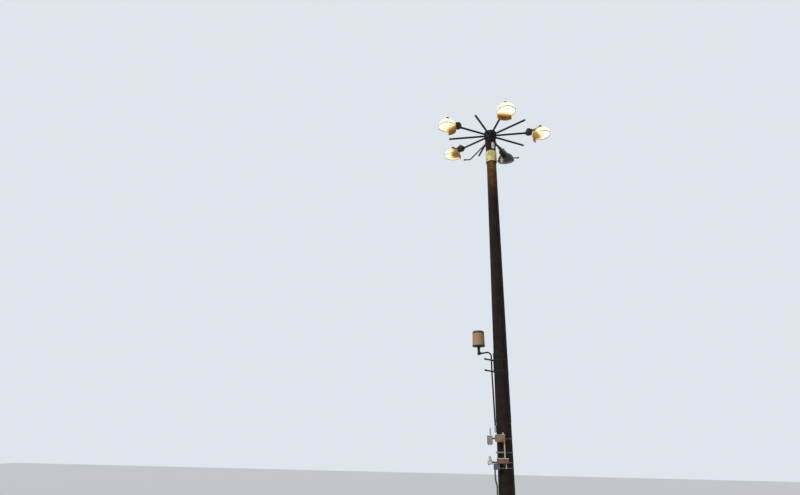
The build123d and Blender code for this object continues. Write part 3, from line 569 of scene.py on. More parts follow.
# %% Coated metal and moulded plastic
DIRT_STREAKS_PER_METRE = (26, 26, 2.4)  # runs of dirt, 38 mm wide and 420 mm tall
DIRT_CLOUDS_PER_METRE = 8.3  # soft clouds, 120 mm across


def coated(name, main, dirt, amount, roughness, peel=0.0025, depth=0.0003, metallic=0.0, specular=0.5):
    """Main colour over dirt: the dirt shows where streaks and clouds together pass a threshold, which falls
    as the amount rises. peel is the bump's grain and depth its height, both in metres; a peel of 2.5 mm is
    drawn coarser than sprayed paint has it, so that it shows. A chalked paint has less specular."""
    material, tree, shader, where = blank(name)
    tall = add(tree, "ShaderNodeMapping", {"Vector": where, "Scale": DIRT_STREAKS_PER_METRE})
    streaks = add(tree, "ShaderNodeTexNoise", {"Vector": tall.outputs["Vector"], "Scale": 1.0, "Detail": 5.0,
                                               "Roughness": 0.6})
    clouds = add(tree, "ShaderNodeTexNoise", {"Vector": where, "Scale": DIRT_CLOUDS_PER_METRE, "Detail": 4.0,
                                              "Roughness": 0.55})
    both = add(tree, "ShaderNodeMath", {0: streaks.outputs[0], 1: clouds.outputs[0]}, operation="ADD")
    clean_below = 1.12 - 0.35 * amount
    dirty_above = 1.42 - 0.3 * amount
    reach = add(tree, "ShaderNodeMapRange", {"Value": both.outputs[0], "From Min": clean_below,
                                             "From Max": dirty_above})
    mixed = add(tree, "ShaderNodeMix", {"Factor": reach.outputs["Result"], "A": colour(main),
                                        "B": colour(dirt)}, data_type="RGBA")
    tree.links.new(mixed.outputs[2], shader.inputs["Base Color"])
    gloss = add(tree, "ShaderNodeMapRange", {"Value": reach.outputs["Result"], "To Min": roughness,
                                             "To Max": min(roughness + 0.3, 0.95)})
    tree.links.new(gloss.outputs["Result"], shader.inputs["Roughness"])
    shader.inputs["Metallic"].default_value = metallic
    shader.inputs["Specular IOR Level"].default_value = specular
    pebbles = add(tree, "ShaderNodeTexNoise", {"Vector": where, "Scale": 1 / peel, "Detail": 2.0})
    bump = add(tree, "ShaderNodeBump", {"Height": pebbles.outputs[0], "Distance": depth, "Strength": 0.8})
    tree.links.new(bump.outputs["Normal"], shader.inputs["Normal"])
    return material


# Brushed-on alkyd on arms, hub and brackets: near black, chalked half dull, brown where it wears through
DARK = coated("dark_alkyd_paint", "#111316", "#281e17", 0.45, 0.55, specular=0.3)
# Thick epoxy, cream, stained yellow-brown by runs from above
CREAM = coated("cream_epoxy_coating", "#d3ca86", "#9c8a3c", 0.5, 0.5)
# Stoved enamel on a thin cover, pale green and clean
COVER = coated("pale_green_enamel", "#d3dcc8", "#8b967c", 0.3, 0.35)
# Die-cast aluminium under textured enamel, baked brown by the ballast's heat
CASTING = coated("die_cast_aluminium_enamel", "#221c12", "#4d3c18", 0.5, 0.55,
                 peel=0.004, depth=0.0005, specular=0.28)
# Spun steel with its lamp's light painted on as a golden tone, and the same steel painted dark as shade under
# the lamp that is out
LAMPLIT_VISOR = coated("visor_steel_painted_lamplight", "#b58a2c", "#6b4c1a", 0.5, 0.42)
SHADED_VISOR = coated("visor_steel_painted_shade", "#3d3016", "#241b10", 0.5, 0.5)
# Moulded weather-proof plastic of the antenna's lip, tan like the shell above it
RADOME = coated("moulded_asa_shell", "#9e7e57", "#785f3f", 0.22, 0.45)
# Grey polycarbonate, matt from the mould, and the darker blue-grey kind of the grey box and the cable duct
PLASTIC = coated("grey_polycarbonate", "#8f8986", "#5f5853", 0.4, 0.55)
BLUE_GREY = coated("blue_grey_polycarbonate", "#54555b", "#3b3b40", 0.45, 0.5)
# Tan powder coat with its fine orange peel, and a browner one on the lower cabinet
TAN = coated("tan_powder_coat", "#8c6d56", "#5f4738", 0.45, 0.5)
SHADED_TAN = coated("brown_tan_powder_coat", "#72574a", "#4c382e", 0.5, 0.5)
# White weather-proof plastic of lids, hood and coupling, half matt and a little yellowed
WHITE = coated("white_asa", "#cbc6bf", "#9d958b", 0.15, 0.45)
# Pale yellow conduit plastic, half matt
PALE = coated("pale_yellow_pvc", "#bfb595", "#857a5b", 0.4, 0.45)
# Hot-dip zinc: bright spangle on the newer parts, dull brown-grey on those that the mast's runs have stained
ZINC = coated("hot_dip_zinc", "#a9aca8", "#6e6b60", 0.5, 0.45, peel=0.006, depth=0.0002, metallic=0.85)
OLD_ZINC = coated("weathered_zinc", "#6b655c", "#403528", 0.5, 0.6, peel=0.006, depth=0.0002, metallic=0.55)
# Zinc-plated fasteners, and plain ones rusted in place
BOLT = coated("zinc_plated_bolt", "#8b8a84", "#5a4634", 0.6, 0.4, peel=0.002, depth=0.0001, metallic=0.9)
RUSTED = coated("rusted_steel_bolt", "#4a3424", "#6d4426", 0.7, 0.7, peel=0.003, depth=0.0004, metallic=0.3)
# Synthetic rubber of seals and glands: black, dull and greyed by weather
RUBBER = coated("epdm_rubber", "#17181a", "#2c2a28", 0.4, 0.7)
print("coated finishes ready")

# %% [markdown]
# The bells are pressed borosilicate glass, lit from inside: near the neck the glass is golden, partly as
# painted shade under the housing, towards the mouth it is nearly white, and the ribs show as darker lines,
# painted shade in their valleys. The side towards the hub is browner: painted shade of a shield inside. A
# lamp behind clear glass would be slow to render and grainy at this size, so the glass itself glows. On the
# bell whose lamp is out, the same marks are painted into its colour.
# The mesh carries what steers the glow as attributes, climb from neck to lens, rib from valley to ridge, and
# shield, so that each bell glows the same way on its own tilted axis.


# %% Glass of the bells
def bell_glass(name, stops, strength, body_code, coat):
    """Pressed glass: the ramp over climb, darkened in the valleys between ribs and browner on the hub's side
    under the shield, both painted shade, is the glow, or the plain colour of an unlit bell."""
    material, tree, shader, _ = blank(name)
    climb = add(tree, "ShaderNodeAttribute", attribute_name="climb").outputs["Fac"]
    rib = add(tree, "ShaderNodeAttribute", attribute_name="rib").outputs["Fac"]
    glow = add(tree, "ShaderNodeValToRGB", {"Fac": climb}, stops)
    # The valleys between the ribs are darker: painted shade.
    valley_shade = add(tree, "ShaderNodeValToRGB", {"Fac": rib}, [(0.0, "#c2aa72"), (0.6, "#ffffff")])
    ribbed = add(tree, "ShaderNodeMix", {"Factor": 0.7, "A": glow.outputs[0], "B": valley_shade.outputs[0]},
                 data_type="RGBA", blend_type="MULTIPLY")
    # The hub's side is browner: painted shade of the shield inside the bell, which blocks the lamp's light
    # there.
    shade = add(tree, "ShaderNodeAttribute", attribute_name="shield").outputs["Fac"]
    golden = add(tree, "ShaderNodeValToRGB", {"Fac": shade},
                 [(0.0, "#ffffff"), (0.3, "#ffe9a8"), (0.65, "#d39c30"), (1.0, "#7a5415")])
    shield_shaded = add(tree, "ShaderNodeMix", {"Factor": 1.0, "A": ribbed.outputs[2], "B": golden.outputs[0]},
                   data_type="RGBA", blend_type="MULTIPLY")
    shader.inputs["Base Color"].default_value = colour(body_code)
    shader.inputs["Roughness"].default_value = 0.16
    shader.inputs["IOR"].default_value = 1.47
    shader.inputs["Coat Weight"].default_value = coat
    target = "Emission Color" if strength > 0 else "Base Color"
    tree.links.new(shield_shaded.outputs[2], shader.inputs[target])
    shader.inputs["Emission Strength"].default_value = strength
    return material


# Glass over a burning lamp: gold at the neck, partly painted shade under the housing, white towards the
# lens, with a light gloss on top
LIT = bell_glass("lit_borosilicate_glass",
                 [(0.0, "#b8811f"), (0.18, "#f0c55c"), (0.42, "#fff3c8"), (0.7, "#ffffff"), (1.0, "#fffdf2")],
                 strength=1.12, body_code="#7d7661", coat=0.4)
# The same glass over a lamp that is out, painted dark brown as glass with no light behind it is in shade
SHADED_GLASS = bell_glass("borosilicate_glass_painted_shade",
                   [(0.0, "#2b261b"), (0.4, "#363123"), (0.8, "#29251e"), (1.0, "#1d1915")],
                   strength=0.0, body_code="#29251e", coat=0.0)
print(LIT.name, "and", SHADED_GLASS.name)

# %% [markdown]
# Each node of the frame gets its finish in its own slots. Most follow the slot named in the record; a few
# parts of the same slot look different on the real mast, and those are named one by one. The small unit at
# the left has a white hood on a pinkish housing, the side box a white finial on a grey one, and the
# antenna's shell a dark crown. Their meshes could be cut where the colour changes, but a finish that reads
# the height leaves them alone.

# %% Dress the construction
FINISH = {
    "weathering_steel": STEEL, "dark_steel": DARK, "cream_paint": CREAM, "pale_cover": COVER,
    "lamp_casting": CASTING, "visor_metal": LAMPLIT_VISOR, "prismatic_glass": LIT, "radome_plastic": RADOME,
    "grey_plastic": PLASTIC, "tan_paint": TAN, "galvanised": ZINC,
}
UNIT_SHOULDER = corners["left_unit"][0, 2] + 0.098
SIDE_TOP = corners["side_box"][0, 2] + 0.220
SHELL_SHOULDER = corners["antenna_radome"][0, 2] + 0.366
STAINS_PER_METRE = 22.0  # soft stains, 45 mm across
PEBBLES_PER_METRE = 400.0  # the mould's texture, 2.5 mm: coarser than the real one, so that it shows


def two_tone(name, level, below, above, stain=0.5):
    """Matt plastic that changes colour just over a level, with soft stains multiplied over both. Where it is
    stained it is duller, too."""
    material, tree, shader, where = blank(name)
    mottle = add(tree, "ShaderNodeTexNoise", {"Vector": where, "Scale": STAINS_PER_METRE, "Detail": 4.0})
    height = add(tree, "ShaderNodeSeparateXYZ", {"Vector": where}).outputs["Z"]
    over = add(tree, "ShaderNodeMath", {0: height, 1: level + 0.001}, operation="GREATER_THAN")
    tones = add(tree, "ShaderNodeMix", {"Factor": over.outputs[0], "A": colour(below), "B": colour(above)},
                data_type="RGBA")
    shade = add(tree, "ShaderNodeValToRGB", {"Fac": mottle.outputs[0]},
                [(0.3, "#b5ada4"), (0.62, "#ffffff")])
    stained = add(tree, "ShaderNodeMix", {"Factor": stain, "A": tones.outputs[2], "B": shade.outputs[0]},
                  data_type="RGBA", blend_type="MULTIPLY")
    tree.links.new(stained.outputs[2], shader.inputs["Base Color"])
    gloss = add(tree, "ShaderNodeMapRange", {"Value": mottle.outputs[0], "To Min": 0.62, "To Max": 0.42})
    tree.links.new(gloss.outputs["Result"], shader.inputs["Roughness"])
    pebbles = add(tree, "ShaderNodeTexNoise", {"Vector": where, "Scale": PEBBLES_PER_METRE, "Detail": 2.0})
    bump = add(tree, "ShaderNodeBump", {"Height": pebbles.outputs[0], "Distance": 0.0003, "Strength": 0.8})
    tree.links.new(bump.outputs["Normal"], shader.inputs["Normal"])
    return material


# The two-tone ones: pink housing under a white hood, grey housing under a white finial, tan shell under a
# dark crown
OWN_FINISH = {
    "pipe_coupling": WHITE, "cabinet_conduit": PALE, "equipment_rails": OLD_ZINC, "conduit_clamps": OLD_ZINC,
    "drop_conduit": OLD_ZINC, "cranked_bar_left": OLD_ZINC, "cranked_bar_right": OLD_ZINC,
    "grey_box": BLUE_GREY,
    "left_unit": two_tone("pink_and_white_polycarbonate", UNIT_SHOULDER, "#a38b85", "#bfbab6"),
    "side_box": two_tone("grey_and_white_polycarbonate", SIDE_TOP, "#8c8482", "#c9c2be"),
    # Lamp 2's rim and visor: the same steel painted dark as shade, because its lamp is out.
    "lower_cabinet": SHADED_TAN, "lamp_2_rim_and_visor": SHADED_VISOR,
    "antenna_radome": two_tone("tan_shell_with_dark_crown", SHELL_SHOULDER, "#9e7e57", "#33291f", 0.25),
}
slots = {row["node"]: row["material_slot"] for row in frame["record"]["subparts"]}
for name, thing in frame["nodes"].items():
    thing.data.materials.clear()
    thing.data.materials.append(OWN_FINISH.get(name, FINISH[slots[name]]))
print(len(frame["nodes"]), "nodes dressed")

# %% [markdown]
# ## The foot of the mast
# Twelve anchor studs hold the base plate, each with a nut and a thinner lock nut. Where plate and mast meet,
# a welder runs a bead right round the twelve sides, in two passes. The hand hole's cover is held by cap
# screws and a lock, and a lug beside it takes the earth wire. The bead could be bump in a finish, but then
# it would have no shadow and no edge, so it is a tube round the mast's own corners.

# %% Anchor studs, foot weld, hatch screws and earth lug
BOLT_CIRCLE = 0.400
STUD_THREAD = 0.036
STUD_STAND = 0.118
anchor_turns = np.arange(12) * 30
stud = placed(anchor(STUD_THREAD, STUD_STAND), (BOLT_CIRCLE, 0, PLATE_TOP))
make("anchor_studs", joined(turned(stud, turn) for turn in anchor_turns), RUSTED)
foot_passes = [weld(flats(PLATE_TOP + 0.004, 0.003), 0.008), weld(flats(PLATE_TOP + 0.013, 0.001), 0.006)]
make("foot_weld", joined(foot_passes), STEEL)

HATCH_SCREW_X = 0.082
HATCH_SCREW_Z = 0.11
HATCH_END_Z = 0.187
HATCH_SKIN = 0.0062  # from the cover's front back to its seal
hatch_low, hatch_high = corners["hatch_cover"]
hatch_z = (hatch_low[2] + hatch_high[2]) / 2
hatch_front = hatch_low[1]
hatch_spots = [(x, hatch_front, hatch_z + z) for x in (-HATCH_SCREW_X, HATCH_SCREW_X)
               for z in (-HATCH_SCREW_Z, 0, HATCH_SCREW_Z)]
hatch_spots += [(0, hatch_front, hatch_z + z) for z in (-HATCH_END_Z, HATCH_END_Z)]
make("hatch_screws", front(cap_screw(0.008, 0.007), hatch_spots), BOLT)
lock_and_key = joined([disc(0.021, 0.006, 0.002), disc(0.009, 0.012, 0.001, 3)])
make("hatch_lock", front(lock_and_key, [(0, hatch_front, hatch_z)]), BOLT)
hatch_seal = [(x, hatch_front + HATCH_SKIN, z + hatch_z) for x, z in rounded(0.176, 0.386, 0.072, 9)]
make("hatch_seal", tube(hatch_seal, 0.002, 6, closed=True), RUBBER)

LUG_HEIGHT = 0.32
LUG_TURN = 300
LUG_THICKNESS = 0.012
lug = joined([plate(0.060, 0.050, LUG_THICKNESS), placed(bolt(0.012), (0, 0, LUG_THICKNESS))])
make("earth_lug", around(lug, float(mast_face(LUG_HEIGHT)), LUG_HEIGHT, [LUG_TURN]), ZINC)

# %% [markdown]
# ## Seams and slip joints
# Each mast section is two folded half shells with a weld down each side. The sections only slip over one
# another; nuts welded near each joint take the jacks that pull them together, and a bead of sealant under
# the upper section's edge keeps water out. All of them are set by the same function that gives the mast's
# flats, so that they follow its taper instead of sinking in or lifting off.

# %% Long seams, joint seals and jacking nuts
SEAM_TURNS = (120, 300)
SEAM_POINTS = 24
JACK_TURNS = (150, 330)
sections = [(PLATE_TOP + 0.02, JOINT_LOW - 0.008), (JOINT_LOW + 0.008, JOINT_HIGH - 0.008),
            (JOINT_HIGH + 0.008, COLLAR_BOTTOM - 0.03)]
seams = []
for low, high in sections:
    levels = np.linspace(low, high, SEAM_POINTS)
    line = np.column_stack([mast_face(levels), np.zeros(SEAM_POINTS), levels])
    seams += [turned(tube(line, 0.0026, 8), turn) for turn in SEAM_TURNS]
make("long_seams", joined(seams), STEEL)
seal_rings = [tube(flats(level - 0.003, 0.002), 0.0045, 8, closed=True) for level in (JOINT_LOW, JOINT_HIGH)]
make("joint_seals", joined(seal_rings), RUBBER)
NUT_CORNER = 0.021
nut = joined([disc(NUT_CORNER, 0.026, 0.002, 6), tube(circle(NUT_CORNER, 0.001, 18), 0.003, 6, closed=True)])
jacks = [around(nut, float(mast_face(level)) - 0.001, level, JACK_TURNS)
         for level in (JOINT_LOW - 0.16, JOINT_LOW + 0.14, JOINT_HIGH - 0.09, JOINT_HIGH + 0.16)]
make("jacking_nuts", joined(jacks), STEEL)

# %% [markdown]
# ## Collar, neck and hub
# The cream sleeve is locked to the mast by set screws, its clamp band is drawn tight by one bolt through two
# ears at the back, and a bead of sealant closes the gap where the neck goes in. The oval cover on the neck
# has its screws near its edge. They could all point the same way, but on a curved wall some would stand
# crooked, so each one's angle is the arc sine of its offset over the wall's radius.

# %% Collar and neck cover
SLEEVE_FACE = 0.1772
SLEEVE_TURNS = (45, 135, 225, 315)
sleeve_screws = around(bolt(0.012), SLEEVE_FACE, COLLAR_BOTTOM + 0.06, SLEEVE_TURNS)
make("collar_screws", sleeve_screws, BOLT)

BAND_OUTER = 0.168
EAR_REACH = BAND_OUTER + 0.014
CLAMP_REACH = BAND_OUTER + 0.016
CLAMP_TURN = 96
band_z = corners["collar_band"][:, 2].mean()
ear = plate(0.022, 0.034, 0.008, 0.003)
ears = [placed(ear, (EAR_REACH, side, band_z), (0, 0, 1), (0, side, 0)) for side in (-0.006, 0.006)]
ears += [placed(bolt(0.010), (CLAMP_REACH, side, band_z), (0, 0, 1), (0, side, 0))
         for side in (-0.014, 0.014)]
ears.append(tube([(CLAMP_REACH, y, band_z) for y in (-0.022, 0, 0.022)], 0.005))
make("band_clamp", turned(joined(ears), CLAMP_TURN), DARK)
neck_bead = circle(neck_radius(COLLAR_TOP) + 0.001, COLLAR_TOP, 60)
make("neck_seal", tube(neck_bead, 0.004, 8, closed=True), RUBBER)

cover_z = corners["neck_cover"][:, 2].mean()
COVER_TURN = -62
COVER_SKIN = 0.0053  # the cover's thickness and its gap
COVER_SCREWS = ((0, 0.107), (0.040, 0.062), (0.041, -0.062), (0, -0.107), (-0.041, -0.062), (-0.040, 0.062))
cover_screws = []
for across, rise in COVER_SCREWS:
    reach = neck_radius(cover_z + rise) + COVER_SKIN
    swing = COVER_TURN + degrees(asin(across / reach))
    cover_screws.append(around(cap_screw(0.006, 0.005), reach - 0.0005, cover_z + rise, [swing]))
make("neck_cover_screws", joined(cover_screws), BOLT)
lock = joined([disc(0.013, 0.006, 0.001), disc(0.005, 0.009, 0.001, 4)])
lock_reach = neck_radius(cover_z) + COVER_SKIN - 0.001
make("neck_cover_lock", around(lock, lock_reach, cover_z, [COVER_TURN]), BOLT)

# %% [markdown]
# Each of the ten arms is welded to a square foot plate, and four bolts hold the plate to the hub drum. More
# bolts close the drum's flanges between the arms, and a ring on the cap takes a crane's hook. One arm's set
# is drawn and turned in steps of 36 degrees, so that all ten agree.

# %% Arm feet, flanges and lifting eye
HUB_FACE = 0.174
FOOT_FACE = HUB_FACE + 0.012
FOOT_BOLT_OFFSET = 0.034
ARM_STEP = 36
UPPER_FLANGE_CIRCLE = 0.170
LOWER_FLANGE_CIRCLE = 0.1830
arm_turns = np.arange(10) * ARM_STEP
flange_turns = arm_turns + ARM_STEP / 2
foot_bolts = [around(placed(bolt(0.012), (up, across, 0)), FOOT_FACE, ARM_HEIGHT, arm_turns)
              for up in (-FOOT_BOLT_OFFSET, FOOT_BOLT_OFFSET)
              for across in (-FOOT_BOLT_OFFSET, FOOT_BOLT_OFFSET)]
make("arm_foot_bolts", joined(foot_bolts), RUSTED)
arm_ring = around(weld(circle(0.0335, 0.003, 36), 0.005, 0.007), FOOT_FACE, ARM_HEIGHT, arm_turns)
make("arm_welds", arm_ring, DARK)
plate_edge = [(x, y, 0.001) for x, y in rounded(0.098, 0.098, 0.012)]
plate_ring = around(weld(plate_edge, 0.004, 0.009), HUB_FACE, ARM_HEIGHT, arm_turns)
make("foot_plate_welds", plate_ring, DARK)
upper_bolt = placed(bolt(0.010), (UPPER_FLANGE_CIRCLE, 0, HUB_TOP))
lower_bolt = placed(bolt(0.006), (LOWER_FLANGE_CIRCLE, 0, HUB_BOTTOM), z=(0, 0, -1))
flange_bolts = [turned(one, turn) for one in (upper_bolt, lower_bolt) for turn in flange_turns]
make("hub_flange_bolts", joined(flange_bolts), RUSTED)
make("cap_seal", tube(circle(0.151, HUB_TOP + 0.002, 60), 0.003, 8, closed=True), RUBBER)

EYE_RADIUS = 0.0135
cap_top = corners["hub_cap"][1, 2]
eye_path = circle(EYE_RADIUS, 0, 24)[:, [1, 2, 0]] + [0, 0, cap_top + 0.0175]
eye = tube(eye_path, 0.0035, 10, closed=True)
make("lifting_eye", joined([eye, disc(0.014, 0.006, 0.002, 20, cap_top - 0.002)]), ZINC)

# %% [markdown]
# ## Cranked bars
# Each bar is welded to a pad, and four bolts hold the pad to the neck. A clamped collar and a plug finish
# its free end. The two bars are alike, so one set is drawn and turned by half a turn; a mirror would turn
# its faces inside out.

# %% Pad bolts and bar ends
PAD_FACE = 0.17775
PAD_HEIGHT = HUB_BOTTOM - 0.190
PAD_BOLT_UP = 0.048
PAD_BOLT_ACROSS = 0.034
BAR_LEVEL = PAD_HEIGHT - 0.545
BAR_REACH = 0.840  # where the clamped collar starts, near the bar's free end
CRANK_TURNS = (4, 184)
pad_bolts = [around(placed(bolt(0.012), (up, across, 0)), PAD_FACE, PAD_HEIGHT, CRANK_TURNS)
             for up in (-PAD_BOLT_UP, PAD_BOLT_UP) for across in (-PAD_BOLT_ACROSS, PAD_BOLT_ACROSS)]
make("crank_pad_bolts", joined(pad_bolts), RUSTED)
bar_end = joined([hoop(0.019, 0.026, 0.0, 0.030, 24), disc(0.0195, 0.006, 0.002, 24, 0.048),
                  placed(bolt(0.006), (0.026, 0, 0.015), (0, 0, 1), (1, 0, 0))])
bar_end = placed(bar_end, (BAR_REACH, 0, BAR_LEVEL), (0, 0, 1), (1, 0, 0))
make("bar_ends", joined(turned(bar_end, turn) for turn in CRANK_TURNS), DARK)

# %% [markdown]
# The clamp band's side bar ends in a cream spool. Two raised rings and a screw on its top finish it. They go
# round the frame's own solid, which stays as it is.

# %% Rings of the band's fitting
FITTING_Y = -0.120
fitting_x = corners["band_fitting"][:, 0].mean()
fitting_rings = joined([hoop(0.039, 0.0425, 0.038, 0.046), hoop(0.039, 0.0425, -0.056, -0.048),
                        placed(cap_screw(0.005, 0.004), (0, 0, 0.0555))])
make("fitting_rings", placed(fitting_rings, (fitting_x, FITTING_Y, band_z)), PALE)

# %% [markdown]
# ## The lamps
# A high mast lamp has a ballast housing at the arm's end, a round socket cap on an arched arm, and a big
# bell of pressed glass whose ribs spread the light. The ribs are why a plain solid isn't enough. The bell is
# a profile turned about its axis, a quarter ellipse from neck to mouth and then a shallow lens, while a
# cosine of the angle presses the ribs inward.

# %% Glass bells
SOCKET_REACH = 1.622
SOCKET_HEIGHT = 0.150
LAMP_TILT = radians(3.5)
BELL_RADIUS = 0.278
BELL_NECK = 0.052
BELL_LENGTH = 0.264
LENS_SAG = 0.084
RIBS = 56
RIB_DEPTH = 0.026  # share of the radius that a valley is pressed in
RING_DEPTH = 0.0022
# The browning set by the next four values is the painted shade of the shield inside, not a colour of the
# glass.
SHIELD_LENGTH = 0.9  # towards the hub, as a share of the bell's radius
SHIELD_WIDTH = 0.85
SHIELD_EDGE = 1.3  # the browning ends at this multiple of both
SHIELD_FADE = 0.6  # and fades over this much
ALL_LAMPS = (1, 2, 3, 4, 5)
LIT_LAMPS = (1, 3, 4, 5)
DARK_LAMPS = (2,)
LAMP_STEP = 72
lamp_up = np.array([-sin(LAMP_TILT), 0, cos(LAMP_TILT)])
lamp_out = np.array([cos(LAMP_TILT), 0, sin(LAMP_TILT)])
lamp_origin = np.array([SOCKET_REACH, 0, ARM_HEIGHT + SOCKET_HEIGHT])


def bell_shape(segments=448):
    """Ribbed bell about Z, mouth down, with its climb, 0 at the neck to 1 at the lens, its rib, 1 on a ridge,
    and its shield, 1 at the hub's side, falling with the distance from there. Wall: radius = neck +
    (mouth - neck) sin t, height = -0.1 L - 0.9 L (1 - cos t). Lens: a shallow bowl, height = -L - sag
    (1 - u squared), with nine rings pressed in as the size of sin (9 pi u). Each rib has eight segments."""
    t = np.linspace(0, pi / 2, 40)
    wall = np.column_stack([BELL_NECK + (BELL_RADIUS - BELL_NECK) * np.sin(t),
                            -0.1 * BELL_LENGTH - 0.9 * BELL_LENGTH * (1 - np.cos(t))])
    u = np.linspace(1, 0, 44)[1:]
    rings = RING_DEPTH * np.abs(np.sin(9 * pi * u)) * (u < 0.96)
    bowl = np.column_stack([BELL_RADIUS * u, -BELL_LENGTH - LENS_SAG * (1 - u ** 2) + rings])
    neck = np.array([[0, -0.0006], [BELL_NECK, -0.0006], [BELL_NECK, -0.05 * BELL_LENGTH]])
    profile = np.vstack([neck, wall, bowl])
    depth = np.zeros(len(profile))
    depth[len(neck):len(neck) + len(t)] = RIB_DEPTH * np.sin(t) ** 0.5 * (1 - (t / (pi / 2)) ** 8)
    angle = np.linspace(0, 2 * pi, segments + 1)
    press = 0.5 + 0.5 * np.cos(RIBS * angle)
    points, faces = revolved(profile, segments)
    points = points.reshape(len(profile), segments + 1, 3)
    points[:, :, :2] *= (1 - depth[:, None] * press[None, :])[:, :, None]
    climb = np.repeat(np.clip(np.linspace(0, 1.25, len(profile)), 0, 1), segments + 1)
    ridge = 1 - press[None, :] * (depth > 0)[:, None]
    ridge[len(neck) + len(t):] = (1 - rings / rings.max())[:, None]
    share = np.concatenate([np.ones(len(neck) + len(t)), u])[:, None]
    away = np.hypot((1 + share * np.cos(angle)) / SHIELD_LENGTH, share * np.sin(angle) / SHIELD_WIDTH)
    shield = np.clip((SHIELD_EDGE - away) / SHIELD_FADE, 0, 1)
    return (points.reshape(-1, 3), faces), {"climb": climb, "rib": ridge, "shield": shield}


bell, bell_marks = bell_shape()
for n in ALL_LAMPS:
    shape = turned(placed(bell, lamp_origin, lamp_out, lamp_up), LAMP_STEP * (n - 1))
    glass = LIT if n in LIT_LAMPS else SHADED_GLASS
    made = make(f"ribbed_bell_{n}", shape, glass, attributes=bell_marks)
    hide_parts(f"lamp_{n}_glass_bell")

# %% [markdown]
# The ballast housing is two castings with a rubber seal between them, drawn together by screws through small
# round bosses. The boss at the arm is locked by two set screws, the cable goes in through a gland
# underneath, and a plate bolted to the end carries the arched arm. The housing widens and narrows again, so
# seal and screws are placed by three stations along it, where its width is known.


# %% Housing seals, screws, bosses and glands
def five(shape, lamps=ALL_LAMPS):
    """A lamp's shape, drawn on the first arm along X, for all five lamps or for some of them."""
    return joined(turned(shape, LAMP_STEP * (n - 1)) for n in lamps)


HOUSING_START = 1.1583
HOUSING_LENGTH = 0.190
HOUSING_END = HOUSING_START + HOUSING_LENGTH
HALF_WIDTHS = (0.0804, 0.098, 0.0882)
STATIONS = (0.0, 0.3, 1.0)
FLANGE = 0.006
BOSS_HEIGHT = 0.032


def housing_side(share):
    """Half the housing's width at a share of its length, read off between its three stations."""
    return float(np.interp(share, STATIONS, HALF_WIDTHS))


seam_z = ARM_HEIGHT + 0.014
outline = [(HOUSING_START + HOUSING_LENGTH * s, side * (housing_side(s) + FLANGE - 0.0005), seam_z)
           for side, marks in ((1, STATIONS), (-1, STATIONS[::-1])) for s in marks]
housing_seal = tube(spaced(outline, 0.02, closed=True), 0.0022, 6, closed=True)
make("housing_seals", five(housing_seal), RUBBER)
screw_spots = [(HOUSING_START + HOUSING_LENGTH * s, side * (housing_side(s) + 0.003), ARM_HEIGHT)
               for s in (0.12, 0.5, 0.88) for side in (-1, 1)]
boss = revolved([(0, 0), (0.0065, 0), (0.0085, 0.010), (0.0085, 0.028), (0.0065, BOSS_HEIGHT),
                 (0, BOSS_HEIGHT)], 14)
make("housing_bosses", five(at(boss, screw_spots)), CASTING)
screws = at(cap_screw(0.0048, 0.004), [(x, y, z + BOSS_HEIGHT) for x, y, z in screw_spots])
ARM_BOSS_X = HOUSING_START - 0.023
ARM_BOSS_RADIUS = 0.042
screws = joined([screws, at(bolt(0.010), [(ARM_BOSS_X, 0, ARM_HEIGHT + ARM_BOSS_RADIUS)]),
                 under(bolt(0.010), [(ARM_BOSS_X, 0, ARM_HEIGHT - ARM_BOSS_RADIUS)])])
make("housing_screws", five(screws), BOLT)
gland_spot = (HOUSING_START + 0.10, 0.045, ARM_HEIGHT - 0.0630)
make("housing_glands", five(under(gland(0.011), [gland_spot])), RUBBER)

END_PLATE_THICKNESS = 0.006
end_plate = plate(0.100, 0.078, END_PLATE_THICKNESS, 0.010)
end_plate = placed(end_plate, (HOUSING_END, 0, ARM_HEIGHT + 0.066), (0, 1, 0), (1, 0, 0))
make("housing_end_plates", five(end_plate), CASTING)
end_spots = [(HOUSING_END + END_PLATE_THICKNESS, y, ARM_HEIGHT + z) for y in (-0.037, 0.037)
             for z in (0.040, 0.092)]
make("end_plate_bolts", five(at(bolt(0.008), end_spots, (1, 0, 0), (0, 0, 1))), BOLT)

# %% [markdown]
# The bell hangs in a split band under the socket cap. Round its mouth three over-centre clips hold the rim
# ring, and rolled beads stiffen the ring and the visor's lower edge. Each could be turned to fit its own
# lamp, but all are drawn level about Z and then set in the lamp's tilted frame, so that one set serves all
# five.


# %% Socket bands, rim clips and visor beads
RIM_OUTER = 0.2853
RIM_MIDDLE = 0.2818
RIM_HEIGHT = 0.018
RIM_LEVEL = -BELL_LENGTH - RIM_HEIGHT / 2
RIM_FOOT = -BELL_LENGTH - RIM_HEIGHT
VISOR_RADIUS = 0.2835
VISOR_EDGE = RIM_FOOT - 0.118
VISOR_HALF = 52  # degrees to each side of the hub's
CLIP_TURNS = (60, 180, 300)
RIVET_TURNS = (132, 148, 164, 196, 212, 228)
RIVET_LEVEL = -BELL_LENGTH - 0.034


def hung(shape):
    """A shape drawn about the first lamp's own axis, from its socket down, set in the mast's frame."""
    return placed(shape, lamp_origin, lamp_out, lamp_up)


def clip():
    """Over-centre clip on a plate: a lever, a pivot pin across it and the hook above."""
    base = plate(0.030, 0.022, 0.003, 0.003)
    lever = placed(plate(0.022, 0.012, 0.007, 0.003), (-0.004, 0, 0.003))
    pin = tube([(0, y, 0.009) for y in (-0.014, 0, 0.014)], 0.0028, 8)
    hook = tube([(0.010, 0, 0.008), (0.020, 0, 0.007), (0.026, 0, 0.002), (0.030, 0, -0.004)], 0.0022, 6)
    return joined([base, lever, pin, hook])


